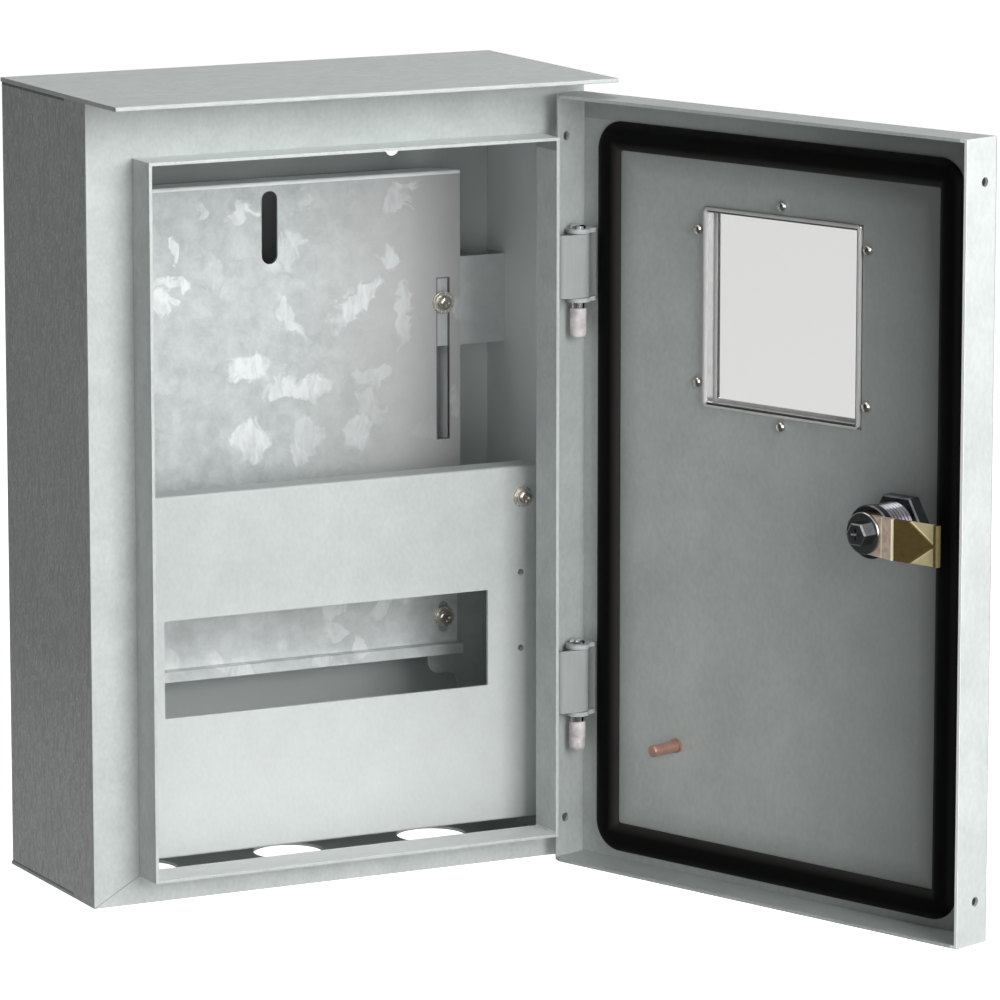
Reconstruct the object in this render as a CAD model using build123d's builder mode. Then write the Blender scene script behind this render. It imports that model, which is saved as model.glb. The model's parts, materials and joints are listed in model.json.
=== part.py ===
from build123d import *
import math
import os

os.makedirs("parts", exist_ok=True)

# Body sheet metal, in millimetres, with the back face on the plane Y = 0
sheet = 1.5
body_w = 255.0
body_h = 375.0
body_d = 100.0
front_y = -body_d
half_w = body_w / 2
half_h = body_h / 2
inner_x = half_w - sheet
through = 20.0

# Roof plate that closes the top and shelters the door
roof_t = 2.0
roof_overhang = 35.0
roof_edge_r = 0.6

# Bottom plate with its cable holes
bottom_plate_d = 82.0
cable_r = 17.0
cable_pitch = 76.5
cable_shift = -1.0
cable_y = -bottom_plate_d / 2

# Wall fixing holes in the back
wall_hole_r = 4.0
wall_pitch_x = 150.0
wall_pitch_z = 290.0

# Collar around the door opening
collar_band_side = 22.85
collar_band_top = 26.15
collar_band_bottom = 13.5
collar_depth = 19.2
collar_x = half_w - collar_band_side
collar_top = half_h - collar_band_top
collar_bottom = -half_h + collar_band_bottom
collar_front_y = front_y - collar_depth

# Cover with the module cut-out, and the angles behind it
cover_side_gap = 15.7
cover_w = 2 * (inner_x - cover_side_gap)
cover_h = 172.0
cover_floor_gap = 16.0
cover_bottom = -half_h + cover_floor_gap
cover_top = cover_bottom + cover_h
cover_recess = 15.0
cover_front_y = front_y + cover_recess
cover_back_y = cover_front_y + sheet
cover_lip = 12.0
cut_w = 168.4
cut_h = 46.4
cut_drop = 82.0
cut_z = cover_top - cut_drop
cut_corner_r = 0.6
cover_screw_inset = 7.5
cover_screw_drop = 15.1
cover_screw_x = cover_w / 2 - cover_screw_inset
cover_screw_z = cover_top - cover_screw_drop
cover_hole_inset = 8.4
cover_hole_drops = (51.6, 88.6)
cover_hole_x = cover_w / 2 - cover_hole_inset
cover_hole_z = [cover_top - drop for drop in cover_hole_drops]
cover_hole_r = 1.55
cover_fold_r = 1.2
angle_lap = 13.3
angle_reach = cover_side_gap + angle_lap
angle_leg = 20.0
angle_top_gap = 4.5
angle_bottom_gap = 11.5
angle_top = cover_top - angle_top_gap
angle_bottom = cover_bottom + angle_bottom_gap

# Meter plate and its brackets
plate_side_gap = 25.0
plate_w = 2 * (inner_x - plate_side_gap)
plate_top_gap = 26.0
plate_top = collar_top - plate_top_gap
plate_overlap = 20.5
plate_bottom = cover_top - plate_overlap
plate_stand_off = 19.0
plate_back_y = -sheet - plate_stand_off
plate_front_y = plate_back_y - sheet
plate_lip = 12.0
plate_lip_taper = 9.6
plate_fold_r = 1.2
top_slot_w = 8.3
top_slot_h = 35.0
top_slot_drop = 22.0
top_slot_z = plate_top - top_slot_drop
side_slot_w = 6.2
side_slot_h = 78.2
side_slot_drop = 91.4
side_slot_z = plate_top - side_slot_drop
side_slot_inset = 9.2
side_slot_x = plate_w / 2 - side_slot_inset
side_slot_r = 0.8
bracket_h = 43.0
bracket_drop = 64.0
bracket_z = plate_top - bracket_drop
bracket_lap = 17.0
bracket_reach = plate_side_gap + bracket_lap
bracket_leg = 14.0

# Module rail, 35 mm wide and 7.5 mm deep, and its brackets
rail_w = 35.0
rail_crown_w = 27.0
rail_d = 7.5
rail_t = 1.0
rail_side_gap = 30.5
rail_len = 2 * (inner_x - rail_side_gap)
rail_z = cut_z
rail_stand_off = 27.0
rail_back_y = -sheet - rail_stand_off
rail_web_y = rail_back_y - rail_t
rail_screw_inset = 7.5
rail_screw_x = rail_len / 2 - rail_screw_inset
rail_slot_w = 5.3
rail_slot_h = 15.5
rail_tab_lap = 15.5
rail_tab_x = rail_len / 2 - rail_tab_lap
rail_edge_gap = 1.0
rail_edge_x = rail_len / 2 + rail_edge_gap
rail_tab_h = 56.0
rail_strip_h = 96.0
rail_leg = 17.0
rail_corner_r = 6.0

# Screws and washers
m5_r = 2.5
m4_r = 2.0
thread_gap = 0.2
washer_t = 1.2
plate_washer_r = 5.6
cover_washer_r = 5.0
rail_washer_r = 5.3
m5_head_r = 3.6
m4_head_r = 3.8
m5_head_h = 2.8
m4_head_h = 2.8
recess_w = 1.1
plate_screw_len = 13.0
cover_screw_len = 11.0
rail_screw_len = 11.0
rail_head_r = 3.9
rail_head_h = 2.7
washer_edge_r = 0.3

# Door pan: closed it stands in front of the collar, open it turns about the hinge axis
door_open_deg = 109.7
door_side_gap = 2.5
door_top_gap = 7.0
door_w = body_w - 2 * door_side_gap
door_h = body_h - door_top_gap
door_bottom = -half_h
door_mid_z = door_bottom + door_h / 2
door_d = 22.2
door_hinge_flange_d = 19.4
door_relief = 4.5
door_stand_off = 2.8
door_face_y = front_y - door_stand_off - door_d
fold_r = 2.0
flange_hole_r = 2.2
flange_hole_inset = 20.0
flange_hole_z = door_h / 2 - flange_hole_inset
free_hole_v = 9.4
hinge_hole_v = 14.1

# Hinge axis and the pieces on it
hinge_inset_x = 9.7
hinge_stand_off = 13.0
hinge_end_gap = 87.9
hinge_x = half_w - hinge_inset_x
hinge_y = front_y - hinge_stand_off
hinge_z = half_h - hinge_end_gap
hinge_u = door_w / 2 - hinge_x
hinge_v = hinge_y - door_face_y
knuckle_r = 5.2
pin_r = 3.8
pin_gap = 0.05
leaf_h = 30.0
leaf_t = 2.0
leaf_collar_gap = 0.8
leaf_web_x = collar_x + leaf_collar_gap
leaf_bend_r = 0.8
ear_gap = 0.3
ear_t = 2.0
ear_r = 5.6
pin_top = 19.3
neck_r = 3.2
tang_r = 2.2
neck_len = 3.1
grip_r = 4.0
grip_h = 14.1
bracket_weld_gap = 1.1
bracket_u0 = sheet + bracket_weld_gap
bracket_base_lap = 3.8
bracket_u1 = hinge_u + bracket_base_lap
bracket_base_t = 2.0
tang_cover = 4.0
pin_chamfer = 0.6
grip_edge_r = 0.8

# Gasket on the door, its flat top over the collar's edge when the door is shut
seal_gap = 0.3
gasket_w = 13.6
gasket_h = (front_y - collar_depth) - door_face_y - sheet - seal_gap
gasket_r = 14.0
gasket_bevel = 2.9
gasket_inner_r = 1.5
gasket_half_x = collar_x - sheet / 2
gasket_hinge_shift = 3.0
gasket_top_over = 0.7
gasket_bottom_over = 2.2
gasket_u = door_w / 2 - gasket_hinge_shift
gasket_top = collar_top - sheet / 2 + gasket_top_over
gasket_bottom = collar_bottom + sheet / 2 - gasket_bottom_over

# Window in the door
win_shift = 0.3
win_drop = 68.5
win_u = door_w / 2 + win_shift
win_z = gasket_top - gasket_w / 2 - win_drop
sleeve_w = 95.6
sleeve_h = 93.8
sleeve_wall = 2.2
sleeve_fit = 0.2
sleeve_in = 3.2
sleeve_out = 6.9
rim_w = 116.0
rim_h = 115.0
rim_t = 3.0
rim_corner_r = 5.0
rim_edge_r = 1.2
sleeve_corner_r = 1.0
bead_r = 0.9
front_lip = 0.4
front_lip_t = 0.6
pane_t = 1.8
pane_gap = 0.2
win_seal_w = 1.2
win_seal_t = 1.2
rivet_side_inset = 6.5
rivet_end_inset = 6.3
rivet_x = rim_w / 2 - rivet_side_inset
rivet_side_z = 36.0
rivet_end_z = rim_h / 2 - rivet_end_inset
rivet_r = 1.6
rivet_gap = 0.05
rivet_head_r = 3.2
rivet_head_h = 1.2
rivet_tail_r = 2.25
rivet_tail_h = 2.2

# Quarter-turn lock with its cam
lock_free_gap = 50.5
lock_rise = 2.0
lock_u = door_w - lock_free_gap
lock_z = door_mid_z + lock_rise
barrel_r = 11.0
barrel_gap = 0.2
barrel_end = 22.4
lock_head_r = 14.5
lock_head_h = 6.0
nut_af = 27.6
nut_h = 6.5
nut_chamfer = 0.7
barrel_chamfer = 0.8
lock_head_r_edge = 1.5
rotor_r = 6.0
rotor_gap = 0.05
key_hole_r = 5.4
key_depth = 8.0
key_post_r = 3.8
key_post_set = 0.6
shoulder_gap = 0.1
stop_gap = 0.3
stop_r = 12.4
stop_t = 4.1
stop_edge = 0.6
stop_v = barrel_end + stop_gap
cam_v = stop_v + stop_t
cam_t = 3.0
cam_half_w = 9.5
cam_shift = 1.2
cam_hub_r = 9.4
cam_len = 43.5
cam_square = 8.0
cam_ramp_u = 16.0
cam_ramp_flat = 10.5
cam_ramp_h = 1.3
cam_blade_t = cam_t - cam_ramp_h
cam_roll_r = 2.2
flange_r = 9.7
flange_t = 1.8
flange_edge_r = 0.9
hex_af = 10.0
hex_h = 4.4
hex_chamfer = 0.7
cam_recess_l = 5.6
cam_recess_d = 2.0
cam_screw_r = 3.0
cam_screw_len = 10.0

# Earth stud welded inside the door
stud_hinge_gap = 61.5
stud_floor_gap = 62.0
stud_u = stud_hinge_gap
stud_z = door_bottom + stud_floor_gap
stud_r = 2.8
stud_tip = 19.0
stud_chamfer = 0.6
stud_base_r = 3.4
stud_base_t = 1.2

closed_door = Plane(origin=(door_w / 2, door_face_y, 0), x_dir=(-1, 0, 0), z_dir=(0, 1, 0))
door_turn = Pos(hinge_x, hinge_y, 0) * Rot(0, 0, door_open_deg) * Pos(-hinge_x, -hinge_y, 0)
door_plane = Plane(door_turn * closed_door.location)


def door_at(u, z, v=0.0):
    return Plane(
        origin=door_plane.from_local_coords((u, z, v)),
        x_dir=door_plane.x_dir,
        z_dir=door_plane.z_dir,
    )


def wall_at(x, z, y):
    return Plane(origin=(x, y, z), x_dir=(1, 0, 0), z_dir=(0, -1, 0))


# Folded shell: back wall and both side walls in one bent sheet
with BuildPart() as shell:
    with BuildSketch(Plane.XY.offset(-half_h + sheet)):
        with BuildLine():
            Polyline(
                (-half_w, front_y + sheet),
                (-half_w, 0),
                (half_w, 0),
                (half_w, front_y + sheet),
                (inner_x, front_y + sheet),
                (inner_x, -sheet),
                (-inner_x, -sheet),
                (-inner_x, front_y + sheet),
                close=True,
            )
        make_face()
    extrude(amount=body_h - sheet)
    outer = shell.edges().filter_by(Axis.Z).group_by(Axis.Y)[-1]
    fillet(outer, fold_r)
    with Locations(Plane(origin=(0, 0, 0), x_dir=(1, 0, 0), z_dir=(0, -1, 0))):
        with GridLocations(wall_pitch_x, wall_pitch_z, 2, 2):
            Cylinder(wall_hole_r, through, mode=Mode.SUBTRACT)
shell.part.label = "shell"
export_step(shell.part, "parts/shell.step")

# Front frame: the face around the opening, the collar and the return under the bottom edge
with BuildPart() as front_frame:
    with BuildSketch(wall_at(0, 0, front_y + sheet)):
        Rectangle(body_w, body_h)
        with Locations((0, (collar_top + collar_bottom) / 2)):
            Rectangle(2 * (collar_x - sheet), collar_top - collar_bottom - 2 * sheet, mode=Mode.SUBTRACT)
    extrude(amount=sheet)
    with BuildSketch(wall_at(0, (collar_top + collar_bottom) / 2, front_y)):
        Rectangle(2 * collar_x, collar_top - collar_bottom)
        Rectangle(2 * (collar_x - sheet), collar_top - collar_bottom - 2 * sheet, mode=Mode.SUBTRACT)
    extrude(amount=collar_depth)
    with Locations((0, (front_y + sheet - bottom_plate_d) / 2, -half_h + sheet / 2)):
        Box(body_w, body_d - sheet - bottom_plate_d, sheet)
front_frame.part.label = "front_frame"
export_step(front_frame.part, "parts/front_frame.step")

# Roof plate
with BuildPart() as roof:
    with Locations((0, 0, half_h)):
        Box(body_w, body_d + roof_overhang, roof_t, align=(Align.CENTER, Align.MAX, Align.MIN))
    fillet(roof.edges().filter_by(Axis.X).group_by(Axis.Y)[0], roof_edge_r)
roof.part.label = "roof"
export_step(roof.part, "parts/roof.step")

# Bottom plate
with BuildPart() as bottom_plate:
    with Locations((0, 0, -half_h)):
        Box(body_w, bottom_plate_d, sheet, align=(Align.CENTER, Align.MAX, Align.MIN))
    with Locations((cable_shift, cable_y, -half_h)):
        with GridLocations(cable_pitch, 1, 3, 1):
            Cylinder(cable_r, through, mode=Mode.SUBTRACT)
bottom_plate.part.label = "bottom_plate"
export_step(bottom_plate.part, "parts/bottom_plate.step")

# Meter plate with one slot above and two beside
with BuildPart() as meter_plate:
    plate_mid = (plate_top + plate_bottom) / 2
    with BuildSketch(wall_at(0, plate_mid, plate_back_y)):
        Rectangle(plate_w, plate_top - plate_bottom)
        with Locations((0, top_slot_z - plate_mid)):
            SlotOverall(top_slot_h, top_slot_w, rotation=90, mode=Mode.SUBTRACT)
        with Locations((-side_slot_x, side_slot_z - plate_mid), (side_slot_x, side_slot_z - plate_mid)):
            RectangleRounded(side_slot_w, side_slot_h, side_slot_r, mode=Mode.SUBTRACT)
    extrude(amount=sheet)
    for edge_z in (plate_top - sheet, plate_bottom):
        with BuildSketch(Plane.XY.offset(edge_z)):
            with BuildLine():
                Polyline(
                    (-plate_w / 2, plate_back_y),
                    (plate_w / 2, plate_back_y),
                    (plate_w / 2 - plate_lip_taper, plate_back_y + plate_lip),
                    (-plate_w / 2 + plate_lip_taper, plate_back_y + plate_lip),
                    close=True,
                )
            make_face()
        extrude(amount=sheet)
    fillet(meter_plate.edges().filter_by(Axis.X).group_by(Axis.Y)[0].group_by(Axis.Z)[-1], plate_fold_r)
meter_plate.part.label = "meter_plate"
export_step(meter_plate.part, "parts/meter_plate.step")


def plate_bracket(side):
    with BuildPart() as made:
        with BuildSketch(Plane.XY.offset(bracket_z - bracket_h / 2)):
            with BuildLine():
                Polyline(
                    (side * inner_x, plate_back_y),
                    (side * (inner_x - bracket_reach), plate_back_y),
                    (side * (inner_x - bracket_reach), plate_back_y + sheet),
                    (side * (inner_x - sheet), plate_back_y + sheet),
                    (side * (inner_x - sheet), plate_back_y + sheet + bracket_leg),
                    (side * inner_x, plate_back_y + sheet + bracket_leg),
                    close=True,
                )
            make_face()
        extrude(amount=bracket_h)
        with Locations(wall_at(side * side_slot_x, bracket_z, plate_back_y)):
            Cylinder(m5_r, through, mode=Mode.SUBTRACT)
    return made.part


# Brackets that carry the meter plate off the side walls
with BuildPart() as plate_bracket_left:
    add(plate_bracket(-1))
plate_bracket_left.part.label = "plate_bracket_left"
export_step(plate_bracket_left.part, "parts/plate_bracket_left.step")

with BuildPart() as plate_bracket_right:
    add(plate_bracket(1))
plate_bracket_right.part.label = "plate_bracket_right"
export_step(plate_bracket_right.part, "parts/plate_bracket_right.step")


def pan_screw(place, shank_r, head_r, head_h, shank_len):
    with BuildPart(place) as made:
        with BuildSketch(place):
            Circle(head_r)
        extrude(amount=head_h)
        fillet(made.faces().sort_by(Axis(place.origin, place.z_dir))[-1].edges(), head_h * 0.72)
        with BuildSketch(place.offset(head_h)):
            Rectangle(head_r * 1.05, recess_w)
            Rectangle(recess_w, head_r * 1.05)
        extrude(amount=-head_h * 0.5, mode=Mode.SUBTRACT)
        with BuildSketch(place):
            Circle(shank_r)
        extrude(amount=-shank_len)
    return made.part


def flat_washer(place, outer_r, inner_r):
    with BuildPart(place) as made:
        with BuildSketch(place):
            Circle(outer_r)
            Circle(inner_r, mode=Mode.SUBTRACT)
        extrude(amount=washer_t)
        fillet(made.faces().sort_by(Axis(place.origin, place.z_dir))[-1].edges().sort_by(SortBy.RADIUS)[-1], washer_edge_r)
    return made.part


# Meter plate screws and washers
with BuildPart() as plate_washers:
    for side in (-1, 1):
        add(flat_washer(wall_at(side * side_slot_x, bracket_z, plate_front_y), plate_washer_r, m5_r + thread_gap))
plate_washers.part.label = "plate_washers"
export_step(plate_washers.part, "parts/plate_washers.step")

with BuildPart() as plate_screws:
    for side in (-1, 1):
        add(pan_screw(wall_at(side * side_slot_x, bracket_z, plate_front_y - washer_t), m5_r, m5_head_r, m5_head_h, plate_screw_len))
plate_screws.part.label = "plate_screws"
export_step(plate_screws.part, "parts/plate_screws.step")

# Cover with the module cut-out, folded back along its top and bottom
with BuildPart() as cover:
    cover_mid = (cover_top + cover_bottom) / 2
    with BuildSketch(wall_at(0, cover_mid, cover_back_y)):
        Rectangle(cover_w, cover_top - cover_bottom)
        with Locations((0, cut_z - cover_mid)):
            RectangleRounded(cut_w, cut_h, cut_corner_r, mode=Mode.SUBTRACT)
        for side in (-1, 1):
            with Locations((side * cover_screw_x, cover_screw_z - cover_mid)):
                Circle(m4_r + thread_gap, mode=Mode.SUBTRACT)
            with Locations(*[(side * cover_hole_x, z - cover_mid) for z in cover_hole_z]):
                Circle(cover_hole_r, mode=Mode.SUBTRACT)
    extrude(amount=sheet)
    for edge_z in (cover_top - sheet, cover_bottom):
        with Locations((0, cover_back_y, edge_z)):
            Box(cover_w, cover_lip, sheet, align=(Align.CENTER, Align.MIN, Align.MIN))
    front_edges = cover.edges().filter_by(Axis.X).group_by(Axis.Y)[0]
    fillet([front_edges.sort_by(Axis.Z)[0], front_edges.sort_by(Axis.Z)[-1]], cover_fold_r)
cover.part.label = "cover"
export_step(cover.part, "parts/cover.step")


def cover_angle(side):
    with BuildPart() as made:
        with BuildSketch(Plane.XY.offset(angle_bottom)):
            with BuildLine():
                Polyline(
                    (side * inner_x, cover_back_y),
                    (side * (inner_x - angle_reach), cover_back_y),
                    (side * (inner_x - angle_reach), cover_back_y + sheet),
                    (side * (inner_x - sheet), cover_back_y + sheet),
                    (side * (inner_x - sheet), cover_back_y + sheet + angle_leg),
                    (side * inner_x, cover_back_y + sheet + angle_leg),
                    close=True,
                )
            make_face()
        extrude(amount=angle_top - angle_bottom)
        with Locations(wall_at(side * cover_screw_x, cover_screw_z, cover_back_y)):
            Cylinder(m4_r, through, mode=Mode.SUBTRACT)
        with Locations(*[wall_at(side * cover_hole_x, z, cover_back_y) for z in cover_hole_z]):
            Cylinder(cover_hole_r, through, mode=Mode.SUBTRACT)
    return made.part


# Angles on the side walls that the cover is screwed to
with BuildPart() as cover_angle_left:
    add(cover_angle(-1))
cover_angle_left.part.label = "cover_angle_left"
export_step(cover_angle_left.part, "parts/cover_angle_left.step")

with BuildPart() as cover_angle_right:
    add(cover_angle(1))
cover_angle_right.part.label = "cover_angle_right"
export_step(cover_angle_right.part, "parts/cover_angle_right.step")

with BuildPart() as cover_washers:
    for side in (-1, 1):
        add(flat_washer(wall_at(side * cover_screw_x, cover_screw_z, cover_front_y), cover_washer_r, m4_r + thread_gap))
cover_washers.part.label = "cover_washers"
export_step(cover_washers.part, "parts/cover_washers.step")

with BuildPart() as cover_screws:
    for side in (-1, 1):
        place = wall_at(side * cover_screw_x, cover_screw_z, cover_front_y - washer_t)
        add(pan_screw(place, m4_r, m4_head_r, m4_head_h, cover_screw_len))
cover_screws.part.label = "cover_screws"
export_step(cover_screws.part, "parts/cover_screws.step")

# Module rail: top-hat section with an upright slot near each end
with BuildPart() as din_rail:
    lip_y = rail_back_y - rail_d
    half = rail_w / 2
    crown = rail_crown_w / 2
    with BuildSketch(Plane.YZ.offset(-rail_len / 2)):
        with BuildLine():
            Polyline(
                (lip_y, rail_z + half),
                (lip_y, rail_z + crown - rail_t),
                (rail_web_y, rail_z + crown - rail_t),
                (rail_web_y, rail_z - crown + rail_t),
                (lip_y, rail_z - crown + rail_t),
                (lip_y, rail_z - half),
                (lip_y + rail_t, rail_z - half),
                (lip_y + rail_t, rail_z - crown),
                (rail_back_y, rail_z - crown),
                (rail_back_y, rail_z + crown),
                (lip_y + rail_t, rail_z + crown),
                (lip_y + rail_t, rail_z + half),
                close=True,
            )
        make_face()
    extrude(amount=rail_len)
    with BuildSketch(wall_at(0, rail_z, rail_back_y)):
        with Locations((-rail_screw_x, 0), (rail_screw_x, 0)):
            SlotOverall(rail_slot_h, rail_slot_w, rotation=90)
    extrude(amount=rail_t, mode=Mode.SUBTRACT)
din_rail.part.label = "din_rail"
export_step(din_rail.part, "parts/din_rail.step")


def rail_bracket(side):
    front = wall_at(0, rail_z, rail_back_y + sheet)
    with BuildPart() as made:
        with BuildSketch(front):
            with Locations((side * (rail_edge_x + inner_x) / 2, 0)):
                Rectangle(inner_x - rail_edge_x, rail_strip_h)
            with Locations((side * (rail_tab_x + inner_x) / 2, 0)):
                Rectangle(inner_x - rail_tab_x, rail_tab_h)
        extrude(amount=sheet)
        corners = made.edges().filter_by(Axis.Y)
        tab = corners.filter_by(lambda e: abs(abs(e.center().Z - rail_z) - rail_tab_h / 2) < 0.1)
        fillet(tab, rail_corner_r)
        with Locations((side * (inner_x - sheet / 2), rail_back_y + sheet, rail_z)):
            Box(sheet, rail_leg, rail_strip_h, align=(Align.CENTER, Align.MIN, Align.CENTER))
        with Locations(wall_at(side * rail_screw_x, rail_z, rail_back_y)):
            Cylinder(m5_r, through, mode=Mode.SUBTRACT)
    return made.part


# Brackets that carry the rail off the side walls
with BuildPart() as rail_bracket_left:
    add(rail_bracket(-1))
rail_bracket_left.part.label = "rail_bracket_left"
export_step(rail_bracket_left.part, "parts/rail_bracket_left.step")

with BuildPart() as rail_bracket_right:
    add(rail_bracket(1))
rail_bracket_right.part.label = "rail_bracket_right"
export_step(rail_bracket_right.part, "parts/rail_bracket_right.step")

with BuildPart() as rail_washers:
    for side in (-1, 1):
        add(flat_washer(wall_at(side * rail_screw_x, rail_z, rail_web_y), rail_washer_r, m5_r + thread_gap))
rail_washers.part.label = "rail_washers"
export_step(rail_washers.part, "parts/rail_washers.step")

with BuildPart() as rail_screws:
    for side in (-1, 1):
        place = wall_at(side * rail_screw_x, rail_z, rail_web_y - washer_t)
        add(pan_screw(place, m5_r, rail_head_r, rail_head_h, rail_screw_len))
rail_screws.part.label = "rail_screws"
export_step(rail_screws.part, "parts/rail_screws.step")


def hinge_leaf(z):
    with BuildPart() as made:
        with BuildSketch(Plane.XY.offset(z - leaf_h / 2)):
            with Locations((hinge_x, hinge_y)):
                Circle(knuckle_r)
            with BuildLine():
                Polyline(
                    (hinge_x, hinge_y - knuckle_r),
                    (leaf_web_x, hinge_y - knuckle_r),
                    (leaf_web_x, front_y),
                    (leaf_web_x + leaf_t, front_y),
                    (leaf_web_x + leaf_t, hinge_y - knuckle_r + leaf_t),
                    (hinge_x, hinge_y - knuckle_r + leaf_t),
                    close=True,
                )
            make_face()
            with Locations((hinge_x, hinge_y)):
                Circle(pin_r + pin_gap, mode=Mode.SUBTRACT)
        extrude(amount=leaf_h)
        upright = made.edges().filter_by(Axis.Z)
        fillet(upright.group_by(Axis.X)[0].group_by(Axis.Y)[0], leaf_t + leaf_bend_r)
        bend = upright.filter_by_position(Axis.X, leaf_web_x + leaf_t - 0.01, leaf_web_x + leaf_t + 0.01)
        fillet(bend.group_by(Axis.Y)[0], leaf_bend_r)
    return made.part


# Hinge leaves welded to the front frame
with BuildPart() as hinge_leaf_upper:
    add(hinge_leaf(hinge_z))
hinge_leaf_upper.part.label = "hinge_leaf_upper"
export_step(hinge_leaf_upper.part, "parts/hinge_leaf_upper.step")

with BuildPart() as hinge_leaf_lower:
    add(hinge_leaf(-hinge_z))
hinge_leaf_lower.part.label = "hinge_leaf_lower"
export_step(hinge_leaf_lower.part, "parts/hinge_leaf_lower.step")


def hinge_bracket(z):
    ear_z = leaf_h / 2 + ear_gap
    with BuildPart() as made:
        with BuildSketch(door_at(0, z, sheet)):
            with Locations(((bracket_u0 + bracket_u1) / 2, 0)):
                Rectangle(bracket_u1 - bracket_u0, 2 * (ear_z + ear_t))
        extrude(amount=bracket_base_t)
        for low in (ear_z, -ear_z - ear_t):
            face = Plane(
                origin=door_plane.from_local_coords((0, z + low, 0)),
                x_dir=door_plane.x_dir,
                z_dir=(0, 0, 1),
            )
            with BuildSketch(face):
                with Locations((hinge_u, -hinge_v)):
                    Circle(ear_r)
                with Locations(((bracket_u0 + bracket_u1) / 2, -(hinge_v + sheet + bracket_base_t) / 2)):
                    Rectangle(bracket_u1 - bracket_u0, hinge_v - sheet - bracket_base_t)
                with Locations((hinge_u, -hinge_v)):
                    Circle(pin_r, mode=Mode.SUBTRACT)
            extrude(amount=ear_t)
    return made.part


# Hinge brackets on the door, each with two ears around the leaf
with BuildPart() as hinge_bracket_upper:
    add(hinge_bracket(hinge_z))
hinge_bracket_upper.part.label = "hinge_bracket_upper"
export_step(hinge_bracket_upper.part, "parts/hinge_bracket_upper.step")

with BuildPart() as hinge_bracket_lower:
    add(hinge_bracket(-hinge_z))
hinge_bracket_lower.part.label = "hinge_bracket_lower"
export_step(hinge_bracket_lower.part, "parts/hinge_bracket_lower.step")

ear_low = -leaf_h / 2 - ear_gap - ear_t
grip_top = ear_low - neck_len
grip_bottom = grip_top - grip_h
tang_bottom = grip_bottom + tang_cover


def hinge_pin(z):
    with BuildPart() as made:
        with Locations((hinge_x, hinge_y, z + ear_low)):
            Cylinder(pin_r, pin_top - ear_low, align=(Align.CENTER, Align.CENTER, Align.MIN))
        chamfer(made.faces().sort_by(Axis.Z)[-1].edges(), pin_chamfer)
        with Locations((hinge_x, hinge_y, z + tang_bottom)):
            Cylinder(tang_r, ear_low - tang_bottom, align=(Align.CENTER, Align.CENTER, Align.MIN))
        with Locations((hinge_x, hinge_y, z + grip_top)):
            Cylinder(neck_r, ear_low - grip_top, align=(Align.CENTER, Align.CENTER, Align.MIN))
    return made.part


def hinge_grip(z):
    with BuildPart() as made:
        with Locations((hinge_x, hinge_y, z + grip_bottom)):
            Cylinder(grip_r, grip_h, align=(Align.CENTER, Align.CENTER, Align.MIN))
        fillet(made.faces().sort_by(Axis.Z)[0].edges(), grip_edge_r)
        with Locations((hinge_x, hinge_y, z + tang_bottom)):
            Cylinder(tang_r, grip_h, align=(Align.CENTER, Align.CENTER, Align.MIN), mode=Mode.SUBTRACT)
    return made.part


# Removable hinge pins with a grip below each
with BuildPart() as hinge_pin_upper:
    add(hinge_pin(hinge_z))
hinge_pin_upper.part.label = "hinge_pin_upper"
export_step(hinge_pin_upper.part, "parts/hinge_pin_upper.step")

with BuildPart() as hinge_pin_lower:
    add(hinge_pin(-hinge_z))
hinge_pin_lower.part.label = "hinge_pin_lower"
export_step(hinge_pin_lower.part, "parts/hinge_pin_lower.step")

with BuildPart() as hinge_grip_upper:
    add(hinge_grip(hinge_z))
hinge_grip_upper.part.label = "hinge_grip_upper"
export_step(hinge_grip_upper.part, "parts/hinge_grip_upper.step")

with BuildPart() as hinge_grip_lower:
    add(hinge_grip(-hinge_z))
hinge_grip_lower.part.label = "hinge_grip_lower"
export_step(hinge_grip_lower.part, "parts/hinge_grip_lower.step")

rivet_spots = [
    (-rivet_x, rivet_side_z),
    (-rivet_x, -rivet_side_z),
    (rivet_x, rivet_side_z),
    (rivet_x, -rivet_side_z),
    (0, rivet_end_z),
    (0, -rivet_end_z),
]
door_axis = Axis(door_plane.origin, door_plane.z_dir)

# Door pan: one panel with four folded flanges
with BuildPart() as door_pan:
    with BuildSketch(door_at(door_w / 2, door_mid_z)):
        Rectangle(door_w, door_h)
    extrude(amount=door_d)
    fillet(door_pan.faces().sort_by(door_axis)[0].edges(), fold_r)
    with BuildSketch(door_at(door_w / 2, door_mid_z, sheet)):
        Rectangle(door_w - 2 * sheet, door_h - 2 * sheet)
    extrude(amount=door_d, mode=Mode.SUBTRACT)
    relief = Plane(
        origin=door_plane.from_local_coords((0, door_bottom, 0)),
        x_dir=door_plane.x_dir,
        z_dir=(0, 0, 1),
    )
    with BuildSketch(relief):
        with BuildLine():
            Polyline(
                (0, -door_hinge_flange_d),
                (door_relief, -door_d),
                (0, -door_d),
                close=True,
            )
        make_face()
    extrude(amount=door_h, mode=Mode.SUBTRACT)
    with BuildSketch(door_at(0, 0)):
        with Locations((win_u, win_z)):
            Rectangle(sleeve_w + 2 * sleeve_fit, sleeve_h + 2 * sleeve_fit)
            with Locations(*rivet_spots):
                Circle(rivet_r + rivet_gap)
        with Locations((lock_u, lock_z)):
            Circle(barrel_r + barrel_gap)
    extrude(amount=sheet, mode=Mode.SUBTRACT)
    for hole_u, hole_v in ((0, hinge_hole_v), (door_w - sheet, free_hole_v)):
        for step in (-flange_hole_z, flange_hole_z):
            drill = Plane(
                origin=door_plane.from_local_coords((hole_u, door_mid_z + step, hole_v)),
                x_dir=(0, 0, 1),
                z_dir=door_plane.x_dir,
            )
            with BuildSketch(drill):
                Circle(flange_hole_r)
            extrude(amount=sheet, mode=Mode.SUBTRACT)
door_pan.part.label = "door_pan"
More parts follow.
